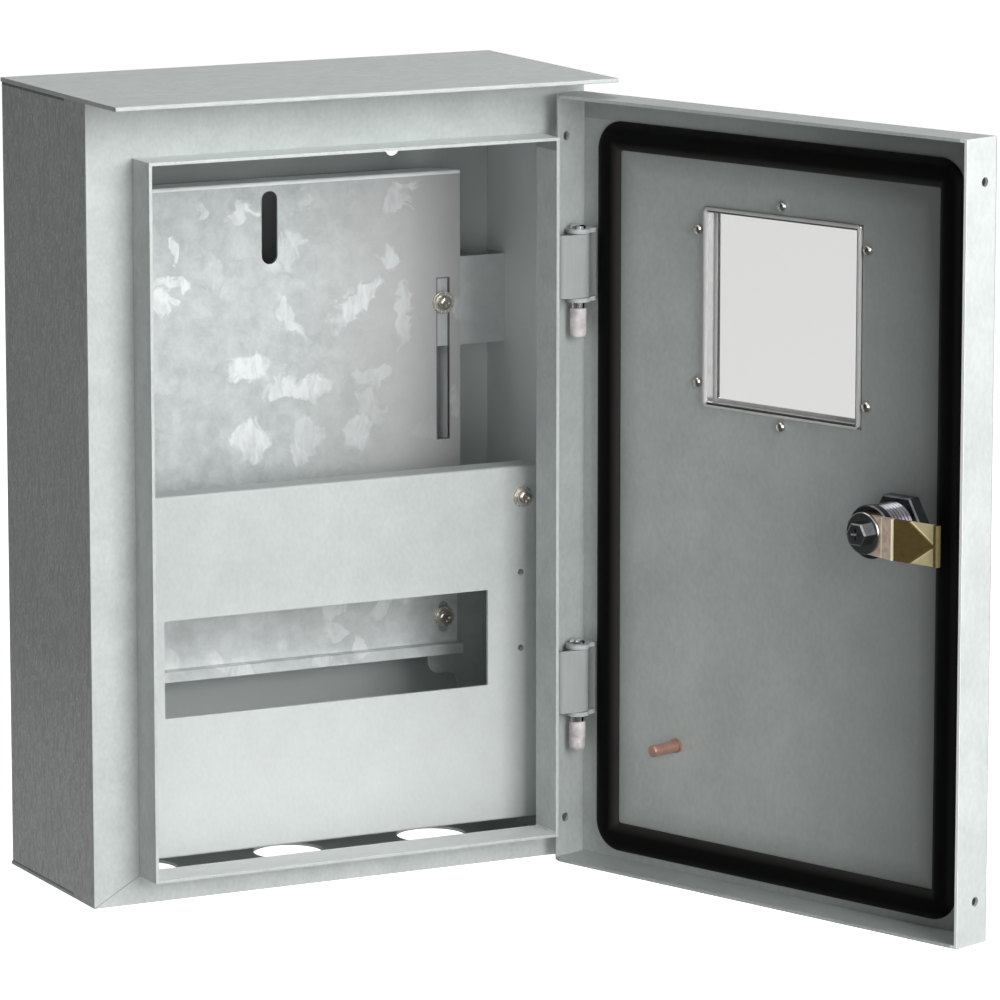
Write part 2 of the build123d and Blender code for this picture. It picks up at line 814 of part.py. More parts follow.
export_step(door_pan.part, "parts/door_pan.step")

# Foam gasket that meets the collar's edge
with BuildPart() as door_gasket:
    gasket_mid_z = (gasket_top + gasket_bottom) / 2
    gasket_mid_h = gasket_top - gasket_bottom
    with BuildSketch(door_at(gasket_u, gasket_mid_z, sheet)):
        RectangleRounded(2 * gasket_half_x + gasket_w, gasket_mid_h + gasket_w, gasket_r)
        RectangleRounded(2 * gasket_half_x - gasket_w, gasket_mid_h - gasket_w, gasket_inner_r, mode=Mode.SUBTRACT)
    extrude(amount=gasket_h)
    chamfer(door_gasket.faces().sort_by(door_axis)[-1].edges(), gasket_bevel)
door_gasket.part.label = "door_gasket"
export_step(door_gasket.part, "parts/door_gasket.step")

# Window frame: rim outside the door, sleeve through it, lip over the pane's edge
hole_w = sleeve_w - 2 * sleeve_wall
hole_h = sleeve_h - 2 * sleeve_wall
with BuildPart() as window_frame:
    with BuildSketch(door_at(win_u, win_z)):
        RectangleRounded(rim_w, rim_h, rim_corner_r)
    extrude(amount=-rim_t)
    fillet(window_frame.faces().sort_by(door_axis)[0].edges(), rim_edge_r)
    with BuildSketch(door_at(win_u, win_z, -sleeve_out)):
        RectangleRounded(sleeve_w, sleeve_h, sleeve_corner_r)
    extrude(amount=sleeve_out + sleeve_in)
    with BuildSketch(door_at(win_u, win_z, -sleeve_out + front_lip_t)):
        Rectangle(hole_w, hole_h)
    extrude(amount=sleeve_out + sleeve_in, mode=Mode.SUBTRACT)
    with BuildSketch(door_at(win_u, win_z, -sleeve_out)):
        RectangleRounded(hole_w - 2 * front_lip, hole_h - 2 * front_lip, sleeve_corner_r)
    extrude(amount=front_lip_t, mode=Mode.SUBTRACT)
    bead = window_frame.faces().sort_by(door_axis)[-1]
    fillet(bead.edges(), bead_r)
    with BuildSketch(door_at(win_u, win_z)):
        with Locations(*rivet_spots):
            Circle(rivet_r + rivet_gap)
    extrude(amount=-rim_t, mode=Mode.SUBTRACT)
window_frame.part.label = "window_frame"
export_step(window_frame.part, "parts/window_frame.step")

pane_v = -sleeve_out + front_lip_t
with BuildPart() as window_pane:
    with BuildSketch(door_at(win_u, win_z, pane_v)):
        Rectangle(hole_w - 2 * pane_gap, hole_h - 2 * pane_gap)
    extrude(amount=pane_t)
window_pane.part.label = "window_pane"
export_step(window_pane.part, "parts/window_pane.step")

with BuildPart() as window_seal:
    with BuildSketch(door_at(win_u, win_z, pane_v + pane_t)):
        Rectangle(hole_w, hole_h)
        Rectangle(hole_w - 2 * win_seal_w, hole_h - 2 * win_seal_w, mode=Mode.SUBTRACT)
    extrude(amount=win_seal_t)
window_seal.part.label = "window_seal"
export_step(window_seal.part, "parts/window_seal.step")

# Blind rivets: flat head outside on the rim, rounded tail inside the door
with BuildPart() as window_rivets:
    for spot_u, spot_z in rivet_spots:
        spot = door_at(win_u + spot_u, win_z + spot_z)
        with BuildPart() as rivet:
            with BuildSketch(spot.offset(-rim_t - rivet_head_h)):
                Circle(rivet_head_r)
            extrude(amount=rivet_head_h)
            with BuildSketch(spot.offset(-rim_t)):
                Circle(rivet_r)
            extrude(amount=rim_t + sheet)
            with BuildSketch(spot.offset(sheet)):
                Circle(rivet_tail_r)
            extrude(amount=rivet_tail_h)
            fillet(rivet.faces().sort_by(door_axis)[-1].edges(), rivet_tail_h * 0.9)
            fillet(rivet.faces().sort_by(door_axis)[0].edges(), rivet_head_h * 0.7)
        add(rivet.part)
window_rivets.part.label = "window_rivets"
export_step(window_rivets.part, "parts/window_rivets.step")


def lock_at(v):
    return door_at(lock_u, lock_z, v)


# Lock housing: head outside, barrel through the door
with BuildPart() as lock_housing:
    with BuildSketch(lock_at(-lock_head_h)):
        Circle(lock_head_r)
    extrude(amount=lock_head_h)
    fillet(lock_housing.faces().sort_by(door_axis)[0].edges(), lock_head_r_edge)
    with BuildSketch(lock_at(0)):
        Circle(barrel_r)
    extrude(amount=barrel_end)
    chamfer(lock_housing.faces().sort_by(door_axis)[-1].edges(), barrel_chamfer)
    with BuildSketch(lock_at(-lock_head_h)):
        Circle(key_hole_r)
    extrude(amount=key_depth, mode=Mode.SUBTRACT)
    with BuildSketch(lock_at(key_depth - lock_head_h)):
        Circle(rotor_r + rotor_gap)
    extrude(amount=barrel_end + lock_head_h - key_depth, mode=Mode.SUBTRACT)
lock_housing.part.label = "lock_housing"
export_step(lock_housing.part, "parts/lock_housing.step")

# Hexagon nut that clamps the housing to the door
with BuildPart() as lock_nut:
    with BuildSketch(lock_at(sheet)):
        RegularPolygon(nut_af / 2, 6, major_radius=False)
    extrude(amount=nut_h)
    chamfer(lock_nut.faces().sort_by(door_axis)[-1].edges(), nut_chamfer)
    with BuildSketch(lock_at(sheet)):
        Circle(barrel_r)
    extrude(amount=nut_h, mode=Mode.SUBTRACT)
lock_nut.part.label = "lock_nut"
export_step(lock_nut.part, "parts/lock_nut.step")

# Rotor with a triangular key post in front and a square end for the cam
rotor_v = key_depth - lock_head_h + shoulder_gap
with BuildPart() as lock_rotor:
    with BuildSketch(lock_at(rotor_v)):
        Circle(rotor_r)
    extrude(amount=stop_v - rotor_v)
    with BuildSketch(lock_at(rotor_v)):
        RegularPolygon(key_post_r, 3)
    extrude(amount=-(key_depth + shoulder_gap - key_post_set))
    with BuildSketch(lock_at(stop_v)):
        Rectangle(cam_square, cam_square)
    extrude(amount=cam_v + cam_t - stop_v)
    with BuildSketch(lock_at(cam_v + cam_t)):
        Circle(cam_screw_r)
    extrude(amount=-cam_screw_len, mode=Mode.SUBTRACT)
lock_rotor.part.label = "lock_rotor"
export_step(lock_rotor.part, "parts/lock_rotor.step")

# Thick stop washer on the rotor's square, between the barrel and the cam
with BuildPart() as lock_washer:
    with BuildSketch(lock_at(stop_v)):
        Circle(stop_r)
    extrude(amount=stop_t)
    chamfer(lock_washer.faces().sort_by(door_axis)[-1].edges(), stop_edge)
    with BuildSketch(lock_at(stop_v)):
        Rectangle(cam_square, cam_square)
    extrude(amount=stop_t, mode=Mode.SUBTRACT)
lock_washer.part.label = "lock_washer"
export_step(lock_washer.part, "parts/lock_washer.step")

# Cam: flat hub, thinner blade with a ramp that narrows to a point, and a rolled tip
side_view = Plane(origin=lock_at(0).origin, x_dir=door_plane.x_dir, z_dir=(0, 0, 1))
cam_tip = cam_len - cam_roll_r
cam_top = cam_half_w - cam_shift
cam_foot = -cam_half_w - cam_shift
with BuildPart() as lock_cam:
    with BuildSketch(lock_at(cam_v)):
        with BuildLine():
            Polyline(
                (0, cam_top),
                (cam_tip, cam_top),
                (cam_tip, cam_foot),
                (cam_ramp_u, cam_foot),
                (0, -cam_hub_r),
                close=True,
            )
        make_face()
        Circle(cam_hub_r)
        Rectangle(cam_square, cam_square, mode=Mode.SUBTRACT)
    extrude(amount=cam_blade_t)
    with BuildSketch(lock_at(cam_v + cam_blade_t)):
        with BuildLine():
            Polyline(
                (0, cam_top),
                (cam_ramp_u + cam_ramp_flat, cam_top),
                (cam_tip, -cam_shift),
                (cam_ramp_u + cam_ramp_flat, cam_foot),
                (cam_ramp_u, cam_foot),
                (0, -cam_hub_r),
                close=True,
            )
        make_face()
        Circle(cam_hub_r)
        Rectangle(cam_square, cam_square, mode=Mode.SUBTRACT)
    extrude(amount=cam_ramp_h)
    with BuildSketch(side_view):
        with BuildLine():
            Polyline(
                (cam_ramp_u, -(cam_v + cam_t)),
                (cam_len, -(cam_v + cam_blade_t)),
                (cam_len, -(cam_v + cam_t + cam_ramp_h)),
                (cam_ramp_u, -(cam_v + cam_t + cam_ramp_h)),
                close=True,
            )
        make_face()
    extrude(amount=2 * cam_half_w, both=True, mode=Mode.SUBTRACT)
    with BuildSketch(side_view.offset(cam_foot)):
        with Locations((cam_tip, -(cam_v + cam_roll_r))):
            Circle(cam_roll_r)
    extrude(amount=2 * cam_half_w)
lock_cam.part.label = "lock_cam"
export_step(lock_cam.part, "parts/lock_cam.step")

# Flanged hexagon screw that holds the cam
with BuildPart() as lock_cam_screw:
    with BuildSketch(lock_at(cam_v + cam_t)):
        Circle(flange_r)
    extrude(amount=flange_t)
    fillet(lock_cam_screw.faces().sort_by(door_axis)[-1].edges(), flange_edge_r)
    with BuildSketch(lock_at(cam_v + cam_t + flange_t)):
        RegularPolygon(hex_af / 2, 6, major_radius=False)
    extrude(amount=hex_h)
    chamfer(lock_cam_screw.faces().sort_by(door_axis)[-1].edges(), hex_chamfer)
    with BuildSketch(lock_at(cam_v + cam_t + flange_t + hex_h)):
        Rectangle(cam_recess_l, recess_w)
        Rectangle(recess_w, cam_recess_l)
    extrude(amount=-cam_recess_d, mode=Mode.SUBTRACT)
    with BuildSketch(lock_at(cam_v + cam_t)):
        Circle(cam_screw_r)
    extrude(amount=-cam_screw_len)
lock_cam_screw.part.label = "lock_cam_screw"
export_step(lock_cam_screw.part, "parts/lock_cam_screw.step")

# Copper earth stud
with BuildPart() as earth_stud:
    with BuildSketch(door_at(stud_u, stud_z, sheet)):
        Circle(stud_base_r)
    extrude(amount=stud_base_t)
    with BuildSketch(door_at(stud_u, stud_z, sheet + stud_base_t)):
        Circle(stud_r)
    extrude(amount=stud_tip - sheet - stud_base_t)
    chamfer(earth_stud.faces().sort_by(door_axis)[-1].edges(), stud_chamfer)
earth_stud.part.label = "earth_stud"
export_step(earth_stud.part, "parts/earth_stud.step")
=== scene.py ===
import json
import math

import bmesh
import bpy
from mathutils import Euler, Matrix, Vector


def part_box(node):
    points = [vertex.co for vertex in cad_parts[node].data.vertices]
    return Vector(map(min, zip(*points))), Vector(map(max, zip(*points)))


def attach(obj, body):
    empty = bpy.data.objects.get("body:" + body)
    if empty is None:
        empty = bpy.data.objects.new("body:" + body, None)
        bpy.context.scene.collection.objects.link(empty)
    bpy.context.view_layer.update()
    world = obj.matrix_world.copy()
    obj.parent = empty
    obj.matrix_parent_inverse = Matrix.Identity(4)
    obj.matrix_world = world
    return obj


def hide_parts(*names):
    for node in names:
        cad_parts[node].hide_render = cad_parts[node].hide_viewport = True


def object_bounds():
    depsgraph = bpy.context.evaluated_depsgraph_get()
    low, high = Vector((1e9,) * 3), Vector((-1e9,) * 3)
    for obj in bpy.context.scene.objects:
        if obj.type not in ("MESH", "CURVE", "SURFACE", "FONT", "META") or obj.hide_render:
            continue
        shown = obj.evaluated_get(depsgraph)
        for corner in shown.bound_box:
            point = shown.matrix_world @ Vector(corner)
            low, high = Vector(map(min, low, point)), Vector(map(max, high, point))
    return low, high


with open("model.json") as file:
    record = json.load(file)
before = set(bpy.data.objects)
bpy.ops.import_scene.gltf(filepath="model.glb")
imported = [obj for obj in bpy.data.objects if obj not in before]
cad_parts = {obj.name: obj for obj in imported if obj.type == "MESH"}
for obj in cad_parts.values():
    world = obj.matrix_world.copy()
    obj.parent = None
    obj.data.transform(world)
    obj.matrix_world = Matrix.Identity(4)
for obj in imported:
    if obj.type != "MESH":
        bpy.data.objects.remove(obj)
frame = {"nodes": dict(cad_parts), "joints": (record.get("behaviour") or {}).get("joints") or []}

cadBox = [[float(n) for n in corner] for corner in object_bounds()]  # before anything is added
scene = bpy.context.scene
scene.view_settings.view_transform = "Standard"
mm = 0.001
print("frame loaded:", len(frame["nodes"]), "nodes")


# a shader socket that takes part in sums
class Wire:
    def __init__(self, tree, socket=None):
        self.tree, self.socket = tree, socket

    def node(self, kind, settings=None, sockets=None, out=0):
        made = self.tree.nodes.new(kind)
        for key, value in (settings or {}).items():
            if key == "stops":
                layStops(made.color_ramp, value)
            else:
                setattr(made, key, value)
        for key, value in (sockets or {}).items():
            if isinstance(value, Wire):
                self.tree.links.new(value.socket, made.inputs[key])
            else:
                made.inputs[key].default_value = value
        return Wire(self.tree, made.outputs[out])

    def also(self, out):  # another output of the same node
        return Wire(self.tree, self.socket.node.outputs[out])

    def maths(self, operation, first, second):
        return self.node("ShaderNodeMath", {"operation": operation}, {0: first, 1: second})

    def __add__(self, other):
        return self.maths("ADD", self, other)

    def __radd__(self, other):
        return self.maths("ADD", other, self)

    def __sub__(self, other):
        return self.maths("SUBTRACT", self, other)

    def __rsub__(self, other):
        return self.maths("SUBTRACT", other, self)

    def __mul__(self, other):
        return self.maths("MULTIPLY", self, other)

    def __rmul__(self, other):
        return self.maths("MULTIPLY", other, self)

    def __gt__(self, other):
        return self.maths("GREATER_THAN", self, other)

    def __lt__(self, other):
        return self.maths("LESS_THAN", self, other)

    def __abs__(self):
        return self.node("ShaderNodeMath", {"operation": "ABSOLUTE"}, {0: self})


def layStops(ramp, stops):
    while len(ramp.elements) < len(stops):
        ramp.elements.new(0.5)
    for element, (at, grey) in zip(ramp.elements, stops):
        element.position = at
        element.color = (grey, grey, grey, 1)


def rgba(colour):
    return (*colour, 1.0)


def shaded(colour, share):
    return rgba([n * share for n in colour])


# material with its Principled shader, and a wire to hang nodes on
def openFinish(name, constants):
    material = bpy.data.materials.new(name)
    material.use_nodes = True
    tree = material.node_tree
    shader = tree.nodes["Principled BSDF"]
    for key, value in constants.items():
        shader.inputs[key].default_value = value
    return material, shader, Wire(tree)


def feed(shader, sockets):
    for key, wire in sockets.items():
        wire.tree.links.new(wire.socket, shader.inputs[key])


# object coordinates, stretched along each axis
def placeOn(root, stretch=(1, 1, 1)):
    place = root.node("ShaderNodeTexCoord", out="Object")
    return root.node("ShaderNodeMapping", sockets={"Vector": place, "Scale": stretch})


# x, y and z of a point on the part, in metres
def spotOn(root):
    place = root.node("ShaderNodeTexCoord", out="Object")
    x = root.node("ShaderNodeSeparateXYZ", sockets={0: place})
    return x, x.also("Y"), x.also("Z")


def noiseOn(root, place, scale, detail=2.0, rough=0.5, out="Fac"):
    return root.node("ShaderNodeTexNoise", sockets={
        "Vector": place, "Scale": scale, "Detail": detail, "Roughness": rough}, out=out)


def rampOn(wire, stops):
    return wire.node("ShaderNodeValToRGB", {"stops": stops}, {"Fac": wire})


def blendOn(mask, low, high):
    return mask.node("ShaderNodeMix", {"data_type": "RGBA"}, {0: mask, 6: low, 7: high}, out=2)


# coordinates pushed about by noise
def warpOn(root, place, scale, push):
    drift = noiseOn(root, place, scale, 1.0, 0.6, out="Color")
    pull = root.node("ShaderNodeVectorMath", {"operation": "SCALE"}, {0: drift, "Scale": push})
    return root.node("ShaderNodeVectorMath", {"operation": "ADD"}, {0: place, 1: pull})


def bumpOn(height, strength, distance):
    return height.node("ShaderNodeBump", sockets={
        "Strength": strength, "Distance": distance, "Height": height})


# the door's own axes in mm: u along the panel from the hinge side, z up, v inward from the outside face
hinge = frame["joints"][0]
doorShut = {
    "edgeX": 125.0, "faceY": -125.0, "sheet": 1.5, "turn": math.radians(-hinge["range_deg"][0]),
}
hingeAt = Vector(hinge["pos_m"])
doorTurn = (Matrix.Translation(hingeAt) @ Matrix.Rotation(doorShut["turn"], 4, "Z")
            @ Matrix.Translation(-hingeAt))


def onDoor(u, z, v):
    return doorTurn @ Vector(((doorShut["edgeX"] - u) * mm, (doorShut["faceY"] + v) * mm, z * mm))


# distances along u, z and v on the open door, in metres from a point given as (u, z, v)
def alongDoor(root, start):
    place = root.node("ShaderNodeTexCoord", out="Object")
    away = root.node("ShaderNodeVectorMath", {"operation": "SUBTRACT"}, {0: place, 1: onDoor(*start)})
    corner = onDoor(0, 0, 0)
    axes = (onDoor(1000, 0, 0) - corner, Vector((0, 0, 1)), onDoor(0, 0, 1000) - corner)
    return [root.node("ShaderNodeVectorMath", {"operation": "DOT_PRODUCT"}, {0: away, 1: axis}, out="Value")
            for axis in axes]


# foam seal in the door, in mm; the section runs from its outer edge to its inner edge
seal = {
    "midU": 122.0, "halfU": 103.9, "top": 161.3, "bottom": -175.45, "width": 13.6,
    "outerR": 14.0, "innerR": 1.4, "cornerSteps": 14,
    "section": [(0, 0), (0, 0.8), (0.5, 1.7), (1.5, 2.7), (2.9, 3.4), (4.7, 3.85), (6.8, 3.97),
                (8.9, 3.85), (10.7, 3.4), (12.1, 2.7), (13.1, 1.7), (13.6, 0.8), (13.6, 0)],
}
sealMidZ = (seal["top"] + seal["bottom"]) / 2


# distance out from the seal's inner edge, in metres, for u and z measured from its middle
def beyondSeal(u, z):
    innerU = seal["halfU"] - seal["width"] / 2
    innerZ = (seal["top"] - seal["bottom"] - seal["width"]) / 2
    return u.maths("MAXIMUM", abs(u) - innerU * mm, abs(z) - innerZ * mm)


# powder coat: soft clouds, fine grain and a pebbled skin; tone lays shading over its colour
def paintFinish(name, low, high, cloudScale=62, grainScale=520, grainStretch=(1, 1, 0.7), cloudShare=0.6,
                rough=0.44, skin=0.2, skinDepth=0.0004, specular=0.32, tone=None):
    material, shader, root = openFinish(name, {"Specular IOR Level": specular})
    wide = noiseOn(root, placeOn(root), cloudScale, 4.0, 0.62)
    cloud = rampOn(wide, [(0.3, 0.0), (0.7, 1.0)])
    grain = noiseOn(root, placeOn(root, grainStretch), grainScale, 2.0, 0.6)
    fleck = rampOn(grain, [(0.34, 0.0), (0.66, 1.0)])
    colour = blendOn(cloud * cloudShare + fleck * (1 - cloudShare), rgba(low), rgba(high))
    feed(shader, {
        "Base Color": tone(colour) if tone else colour,
        "Roughness": rough + grain * 0.12,
        "Normal": bumpOn(grain, skin, skinDepth),
    })
    return material


# front frame, in metres: the collar's faces, where the roof's painted shade starts, and the mitres at the
# foot
front = {
    "face": -0.1003, "collarEdge": -0.1188, "collarX": 0.10455, "collarUnder": 0.155, "collarTop": 0.16132,
    "footLow": -0.1733, "footHigh": -0.1715, "roofShade": 0.145,
    "mitreFace": -0.0995, "mitreFrom": (0.10465, -0.174), "mitreTo": (0.1275, -0.1875), "mitreWidth": 0.00028,
    "paintedLight": (0.89, 0.92, 0.91), "paintedShade": (0.15, 0.1605, 0.1575), "mitreDark": (0.175, 0.18725, 0.18375),
}


# hairlines from the collar's lower corners to the body's
def mitreMask(x, y, z):
    (x0, z0), (x1, z1) = front["mitreFrom"], front["mitreTo"]
    length = math.hypot(x1 - x0, z1 - z0)
    alongX, alongZ = (x1 - x0) / length, (z1 - z0) / length
    out, up = abs(x) - x0, z - z0
    near = abs(out * alongZ - up * alongX) < front["mitreWidth"]
    along = out * alongX + up * alongZ
    return near * (along > 0.0) * (along < length) * (y < front["mitreFace"])


# front frame: painted shade under the collar's top and below the roof, painted light on the collar's top and
# foot, dark mitres
def frontTone(colour):
    x, y, z = spotOn(colour)
    between, behindEdge = abs(x) < front["collarX"], y > front["collarEdge"]
    collarUnder = between * (z > front["collarUnder"]) * (z < front["collarTop"]) * behindEdge
    collarTop = (z > front["collarTop"]) * (y < front["face"]) * behindEdge
    collarFoot = (z < front["footHigh"]) * (z > front["footLow"]) * between * behindEdge
    belowRoof = rampOn((z - front["roofShade"]) * 25, [(0.0, 0.0), (0.9, 0.3)]) * (y > front["face"])
    colour = blendOn(collarUnder * 0.5, colour, rgba(front["paintedShade"]))
    colour = blendOn(collarTop * 0.8 + collarFoot * 0.95, colour, rgba(front["paintedLight"]))
    colour = blendOn(belowRoof, colour, rgba(front["paintedShade"]))
    return blendOn(mitreMask(x, y, z) * 0.55, colour, rgba(front["mitreDark"]))


# cover: painted light, paler from a height (in metres) downward
cover = {"from": -0.045, "share": 0.36, "paintedLight": (0.84, 0.875, 0.86)}


def coverTone(colour):
    below = cover["from"] - spotOn(colour)[2]
    return blendOn(rampOn(below * 5, [(0.0, 0.0), (0.5, cover["share"])]), colour, rgba(cover["paintedLight"]))


# door: where its painted shade starts (mm), and the inside face, and the lock side flange and rim with
# painted light, from there (metres)
doorShade = {
    "u": 70, "z": 95, "v": 0.7, "aboveSeal": 0.0731, "inside": 0.001, "rimV": 0.0212, "rimU": 0.176,
    "flangeU": 0.1795, "share": 0.68, "paintedShade": (0.17, 0.1836, 0.18), "paintedLight": (0.93, 0.95, 0.94),
}


# door: painted shade toward the lock, the top and round the seal, painted light on the lock side flange and
# rim
def doorTone(colour):
    u, z, v = alongDoor(colour, (doorShade["u"], doorShade["z"], doorShade["v"]))
    toLock = rampOn(u * 5, [(0.0, 0.0), (0.3, 0.2), (0.65, 0.8), (0.75, 1.0)])
    toTop = rampOn(z * 10, [(0.0, 0.0), (0.5, 0.36)])
    within = beyondSeal(u - (seal["midU"] - doorShade["u"]) * mm, z - (sealMidZ - doorShade["z"]) * mm)
    besideSeal = rampOn(within * 70 + 1, [(0.2, 0.0), (1.0, 0.5)]) * (within < 0.0)
    aboveSeal = (z > doorShade["aboveSeal"]) * 0.5
    darkened = (toLock + toTop + (besideSeal + aboveSeal)) * (v > 0.0) * (v < doorShade["inside"])
    colour = blendOn(darkened * doorShade["share"], colour, rgba(doorShade["paintedShade"]))
    rim = (v > doorShade["rimV"]) * (u > doorShade["rimU"])
    return blendOn(rim + (u > doorShade["flangeU"]) * 0.09, colour, rgba(doorShade["paintedLight"]))


# side and back walls, in metres: where the outside starts, the inner back face, the joints under the roof
# and over the bottom plate behind the front frame's return, what hides the inside, and colours for its
# painted light and shade
walls = {
    "outX": 0.1268, "outY": -0.0008, "backY": -0.002, "returnY": -0.076,
    "roofJoint": 0.1862, "footJoint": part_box("shell")[0][2] + 0.0009,
    "plateX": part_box("meter_plate")[1][0] - 0.002, "coverTop": -0.06,
    "inside": (0.56, 0.60, 0.59), "insideHigh": (0.64, 0.685, 0.675),
    "paintedLight": (0.84, 0.87, 0.86), "paintedShade": (0.2, 0.215, 0.21),
}


# smooth inside of the walls: painted light above the middle, painted shade behind the plate, behind the cover
# and at the top
def innerWall(x, y, z, cloud):
    onBack = y > walls["backY"]
    paintedLight = rampOn(z * 5, [(0.0, 0.15), (0.16, 0.5), (0.38, 0.5), (0.6, 0.0)]) * (0.62 + onBack * 0.5)
    plateEnd = walls["plateX"] * 10
    behindPlate = rampOn(abs(x) * 10, [(plateEnd - 0.25, 0.75), (plateEnd, 0.0)]) * (z > 0.0)
    upper = rampOn(z * 5, [(0.3, 0.0), (0.7, 0.3)])
    paintedShade = (z < walls["coverTop"]) * 0.2 + x.maths("MAXIMUM", behindPlate, upper) * onBack
    plain = blendOn(cloud, rgba(walls["inside"]), rgba(walls["insideHigh"]))
    return blendOn(paintedShade, blendOn(paintedLight, plain, rgba(walls["paintedLight"])), rgba(walls["paintedShade"]))


# hammered walls: wavy upright ridges outside, painted shade that darkens them higher up, painted shadow in
# the joints
def hammerFinish(name, low, high):
    material, shader, root = openFinish(name, {"Specular IOR Level": 0.18})
    bent = warpOn(root, placeOn(root), 130, 0.0035)
    tall = root.node("ShaderNodeMapping", sockets={"Vector": bent, "Scale": (1, 1, 0.22)})
    wave = noiseOn(root, tall, 480, 2.0, 0.6)
    cloud = noiseOn(root, placeOn(root), 26, 2.0)
    x, y, z = spotOn(root)
    outside = root.maths("MAXIMUM", abs(x) > walls["outX"], y > walls["outY"])
    ridge = rampOn(wave, [(0.42, 0.0), (0.52, 1.0), (0.60, 0.1), (0.68, 0.7)]) * (outside * 0.9 + 0.1)
    skin = blendOn(ridge * 0.8 + cloud * 0.2, rgba(low), rgba(high))
    # painted shade: the outside darker higher up
    skin = blendOn(rampOn(z * 5 + 0.95, [(0.25, 0.0), (0.65, 0.26)]), skin, shaded(low, 0.35))
    colour = blendOn(outside, innerWall(x, y, z, cloud), skin)
    # painted shadow in the gaps under the roof and over the bottom plate
    jointShadow = ((z > walls["roofJoint"]) + (z < walls["footJoint"])) * (y > walls["returnY"]) * outside
    feed(shader, {
        "Base Color": blendOn(jointShadow * 0.75, colour, shaded(low, 0.3)),
        "Roughness": 0.5 - ridge * 0.14,
        "Normal": bumpOn(ridge, 0.6, 0.0005),
    })
    return material


# camera at the photograph's angle, for a square picture
shot = {
    "eye": (-1.2391, -2.7104, 0.5235), "yaw": 26.863, "pitch": 10.374, "lens": 226.3, "sensor": 36,
    "pixels": 1000,
}
shotTurn = Euler((math.radians(90 - shot["pitch"]), 0, math.radians(-shot["yaw"])))

# meter plate: its top fold, which gets painted light, and its side slots, ringed by painted shadow, in metres
# its largest crystals were picked, in pixels of the photograph:
# (across, down, half length, half width, tilt in degrees, strength)
plateLow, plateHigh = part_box("meter_plate")
plate = {
    "fold": 0.1335, "foldPaintedLight": (0.95, 0.97, 0.97), "darkened": (0.515, 0.51, 0.51),
    "slotX": plateHigh[0] - 0.0092, "slotZ": plateHigh[2] - 0.0914, "slotHalfX": 0.0031, "slotHalfZ": 0.0391,
    "slotLine": 0.0005, "slotShadow": (0.06, 0.065, 0.065),
    "shift": 0.0127, "faceY": -0.0093,  # the warp's mean push, and the y of the plate's face after it
    "crystals": [
        (240.4, 213.5, 18, 8.6, 41, 1.0), (172.5, 249.4, 12, 5.5, 90, 0.95), (175.4, 287.6, 17, 8, 4, 1.0),
        (163.4, 310, 16, 11, 90, 0.95), (294.8, 248, 24, 11, 80, 0.55), (354.5, 303, 34, 12, 43, 0.8),
        (292, 317, 27, 9, -55, 0.6), (247, 365, 24, 19, 20, 0.9), (295, 388, 38, 14, -8, 0.85),
        (253, 441, 22, 17, 75, 0.9), (298, 452, 12, 11, 0, 0.6), (359, 432, 20, 13, 80, 0.6),
        (405, 315, 34, 7, 88, 0.45), (388, 262, 14, 11, 60, 0.55), (202, 214, 8, 7, 30, 0.6),
        (410, 183, 16, 6, 5, 0.5),
    ],
}


# where a pixel of the photograph meets the plate's front, as x and z in mm
def onPlateFront(across, down):
    pixel, middle = shot["sensor"] / shot["pixels"], shot["pixels"] / 2
    aim = Vector(((across - middle) * pixel, (middle - down) * pixel, -shot["lens"]))
    aim.rotate(shotTurn)
    eye = Vector(shot["eye"])
    met = eye + aim * ((plateLow[1] - eye.y) / aim.y)
    return met.xz / mm


# a picked crystal on the plate: x, z, half length and half width in mm, and its tilt in degrees
def crystalOnPlate(across, down, long, short, tilt):
    alongX, alongUp = math.cos(math.radians(tilt)), math.sin(math.radians(tilt))
    at = onPlateFront(across, down)
    length = onPlateFront(across + long * alongX, down - long * alongUp) - at
    width = onPlateFront(across - short * alongUp, down - short * alongX) - at
    turn = math.degrees(math.atan2(length.y, length.x))
    return round(at.x), round(at.y), round(length.length, 1), round(width.length, 1), round(turn)


# the plate's own crystals laid over those that fall by chance
def plateCrystals(bent, bright):
    for *picked, power in plate["crystals"]:
        x, z, long, short, tilt = crystalOnPlate(*picked)
        spot = bent.node("ShaderNodeMapping", {"vector_type": "TEXTURE"}, {
            "Vector": bent, "Location": (x * mm + plate["shift"], plate["faceY"], z * mm + plate["shift"]),
            "Rotation": (0, math.radians(-tilt), 0), "Scale": (long * mm, 1, short * mm)})
        reach = bent.node("ShaderNodeVectorMath", {"operation": "LENGTH"}, {0: spot}, out="Value")
        bright = bright.maths("MAXIMUM", bright, rampOn(reach, [(0.72, power), (1.05, 0.0)]))
    return bright


# painted shadow lines round the plate's side slots
def slotLines(x, z):
    acrossX, acrossZ = abs(abs(x) - plate["slotX"]), abs(z - plate["slotZ"])
    beyond = x.maths("MAXIMUM", acrossX - plate["slotHalfX"], acrossZ - plate["slotHalfZ"])
    return beyond < plate["slotLine"]


